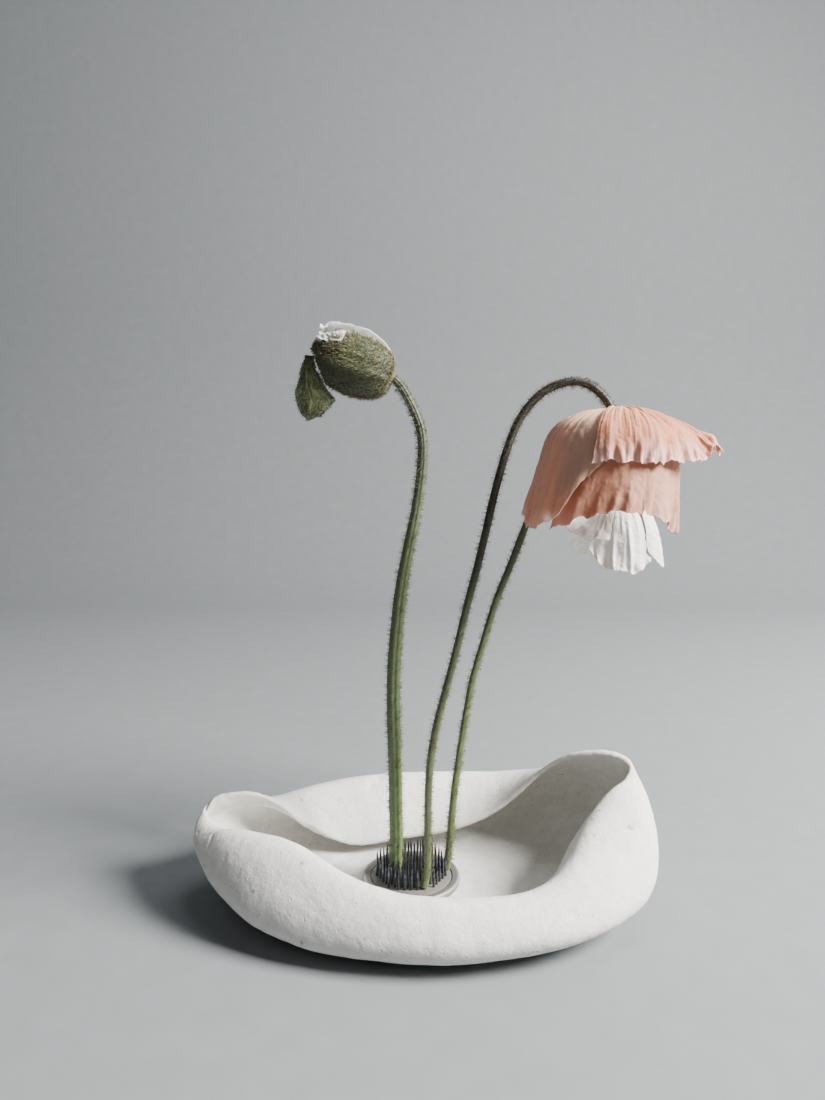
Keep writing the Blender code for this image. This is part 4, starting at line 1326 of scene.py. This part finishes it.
def build_bud():
    """The opening bud. Azimuth 0 is up, 90 back, 180 down and 270 front."""
    axis = (-0.946, 0, 0.324)
    origin = box_centre("bud_ovary") - 12.5 * unit(np.array(axis, float))
    bloom = Bloom(
        origin, axis, (0, 0, 1),
        ((2.4, 0), (8.1, 0.8), (11.9, 5.5), (13.5, 12), (13.5, 20), (11.5, 28), (7.4, 34),
         (3.0, 37.5)),
    )
    look = sepal_look("calyx", 1.2)
    dark = bristle_look("calyx_bristles", (0.060, 0.060, 0.036), (0.14, 0.14, 0.085))
    pale = bristle_look("calyx_pale_bristles", (0.13, 0.15, 0.05), (0.28, 0.29, 0.12))
    build_clinging_sepal(bloom, look, dark, pale)
    joint = bloom.origin - 0.6 * bloom.axis + np.array((0.6, 0, -0.6))
    green = plain_green("bud_receptacle_skin", (0.045, 0.052, 0.030), (0.085, 0.095, 0.05))
    add_piece("bud_receptacle", small_ball(joint, bloom.axis, 1.7, 2.6), green)
    # The dropped valve's greens are painted 5.5 times brighter: painted light, making up for the
    # shade it hangs in.
    build_loose_sepal(sepal_look("dropped_calyx", 5.5), dark, pale)
    white = petal_look("petal_bud_white", (0.86, 0.87, 0.80), (0.92, 0.92, 0.89),
                       (0.93, 0.92, 0.89), (0.80, 0.78, 0.71), (1.0, 0.95, 0.85))
    for name, node, petal in (
        ("bud_petal_upper", "bud_petal_outer",
         Petal((-7, 118), (0.6, 2.8), ((47, 7.5), (50, 7), (50, 0.5), (43, 0)), 201, 4, (130, 200),
               broad=0.5, ruffle=1.4, ragged=1.0, crumple=0.8, frills=((0.0, 0.3, 1.6),),
               start=9)),
        ("bud_petal_knob", "bud_petal_outer",
         Petal((-58, 34), (1.0, 1.0), ((44, 2), (51, 4.0), (53, 6), (50, 6)), 241, 4, (90, 140),
               pleats=0.3, broad=0.8, ruffle=1.6, ragged=0.9, crumple=1.2,
               frills=((0.5, 0.5, 1.6),), start=32)),
        ("bud_petal_near", "bud_petal_front",
         Petal((-150, -20), (-2.3, -2.3), ((45, 0), (50, 0), (51, 2), (48, 2)), 211, 4,
               (100, 150), pleats=0.3, broad=0.3, ruffle=0.4, crumple=0.4)),
        ("bud_petal_lower", "bud_petal_slit",
         Petal((-236, -146), (-3.7, -3.7), ((41, 0), (44, 0), (46, 0)), 221, 4, (100, 130),
               pleats=0.4, broad=0.4, ruffle=0.9, crumple=0.8, frills=((0.2, 0.4, 1.2),))),
        ("bud_petal_packed", "bud_petal_inner",
         Petal((-11, 112), (-2.3, -2.3), ((42, 0), (46, 0), (42, 0)), 231, 4, (90, 120),
               pleats=0.3, broad=0.3, ruffle=0.4, crumple=0.4)),
    ):
        add_petal(name, node, bloom, petal, white)
    profile = ((0.3, 5.9), (1.1, 6.0), (2.4, 7.2), (3.4, 9.0), (4.3, 11.4), (4.6, 13.2),
               (4.5, 15.2), (4.1, 17.0), (3.2, 18.3), (2.1, 19.0), (0.3, 19.1))
    flesh = plain_green("bud_ovary_skin", OVARY_DARK, OVARY_LIGHT)
    add_piece("bud_seed_box", skin(bloom.turned(profile, 72, 8, 0.05)), flesh,
              ("bud_ovary",))


# ---------------------------------------------------------------- studio


def build_backdrop():
    """A pale floor that rises in a smooth bend into the backdrop."""
    profile = [(FLOOR_FRONT, 0.0), (FLOOR_BACK, 0.0)]
    for k in range(1, BEND_STEPS + 1):
        turn = pi / 2 * k / BEND_STEPS
        profile.append((FLOOR_BACK + BACKDROP_BEND * sin(turn), BACKDROP_BEND * (1 - cos(turn))))
    profile.append((FLOOR_BACK + BACKDROP_BEND, BACKDROP_TOP))
    across = np.linspace(-FLOOR_HALF_WIDTH, FLOOR_HALF_WIDTH, 3)
    grid = np.array([[(x, y, z) for x in across] for y, z in profile])
    mesh = bpy.data.meshes.new("studio_floor")
    mesh.from_pydata(grid.reshape(-1, 3).tolist(), [], grid_quads(*grid.shape[:2]).tolist())
    mesh.shade_smooth()
    mesh.materials.append(studio_card())
    floor = bpy.data.objects.new("studio_floor", mesh)
    bpy.context.collection.objects.link(floor)
    floor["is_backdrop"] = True


def build_lights():
    """Three soft square lights, turned towards the flowers, and a weak grey sky."""
    for name, place, size, power, tint in LIGHTS:
        light = bpy.data.lights.new(name, "AREA")
        light.energy = power
        light.size = size
        light.color = tint
        lamp = bpy.data.objects.new(name, light)
        lamp.location = place
        facing = Vector(LIGHT_AIM) - Vector(place)
        lamp.rotation_euler = facing.to_track_quat("-Z", "Y").to_euler()
        bpy.context.collection.objects.link(lamp)
    world = bpy.data.worlds.new("studio")
    world.use_nodes = True
    background = world.node_tree.nodes["Background"]
    background.inputs["Color"].default_value = WORLD_COLOUR
    background.inputs["Strength"].default_value = WORLD_STRENGTH
    bpy.context.scene.world = world


def build_camera():
    lens = bpy.data.cameras.new("camera")
    lens.lens = CAMERA_LENS
    lens.sensor_width = CAMERA_SENSOR
    lens.clip_start = 0.01
    camera = bpy.data.objects.new("camera", lens)
    camera.location = CAMERA_PLACE
    camera.rotation_euler = (radians(CAMERA_TILT), 0, 0)
    bpy.context.collection.objects.link(camera)
    bpy.context.scene.camera = camera


build_backdrop()
build_lights()
build_camera()
build_bowl()
build_plate()
build_needles()
build_stems()
build_bud()
build_pink_flower()
build_white_flower()

boxes = {"cad": CAD_BOX, "visual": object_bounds()}
{key: [list(corner) for corner in box] for key, box in boxes.items()}
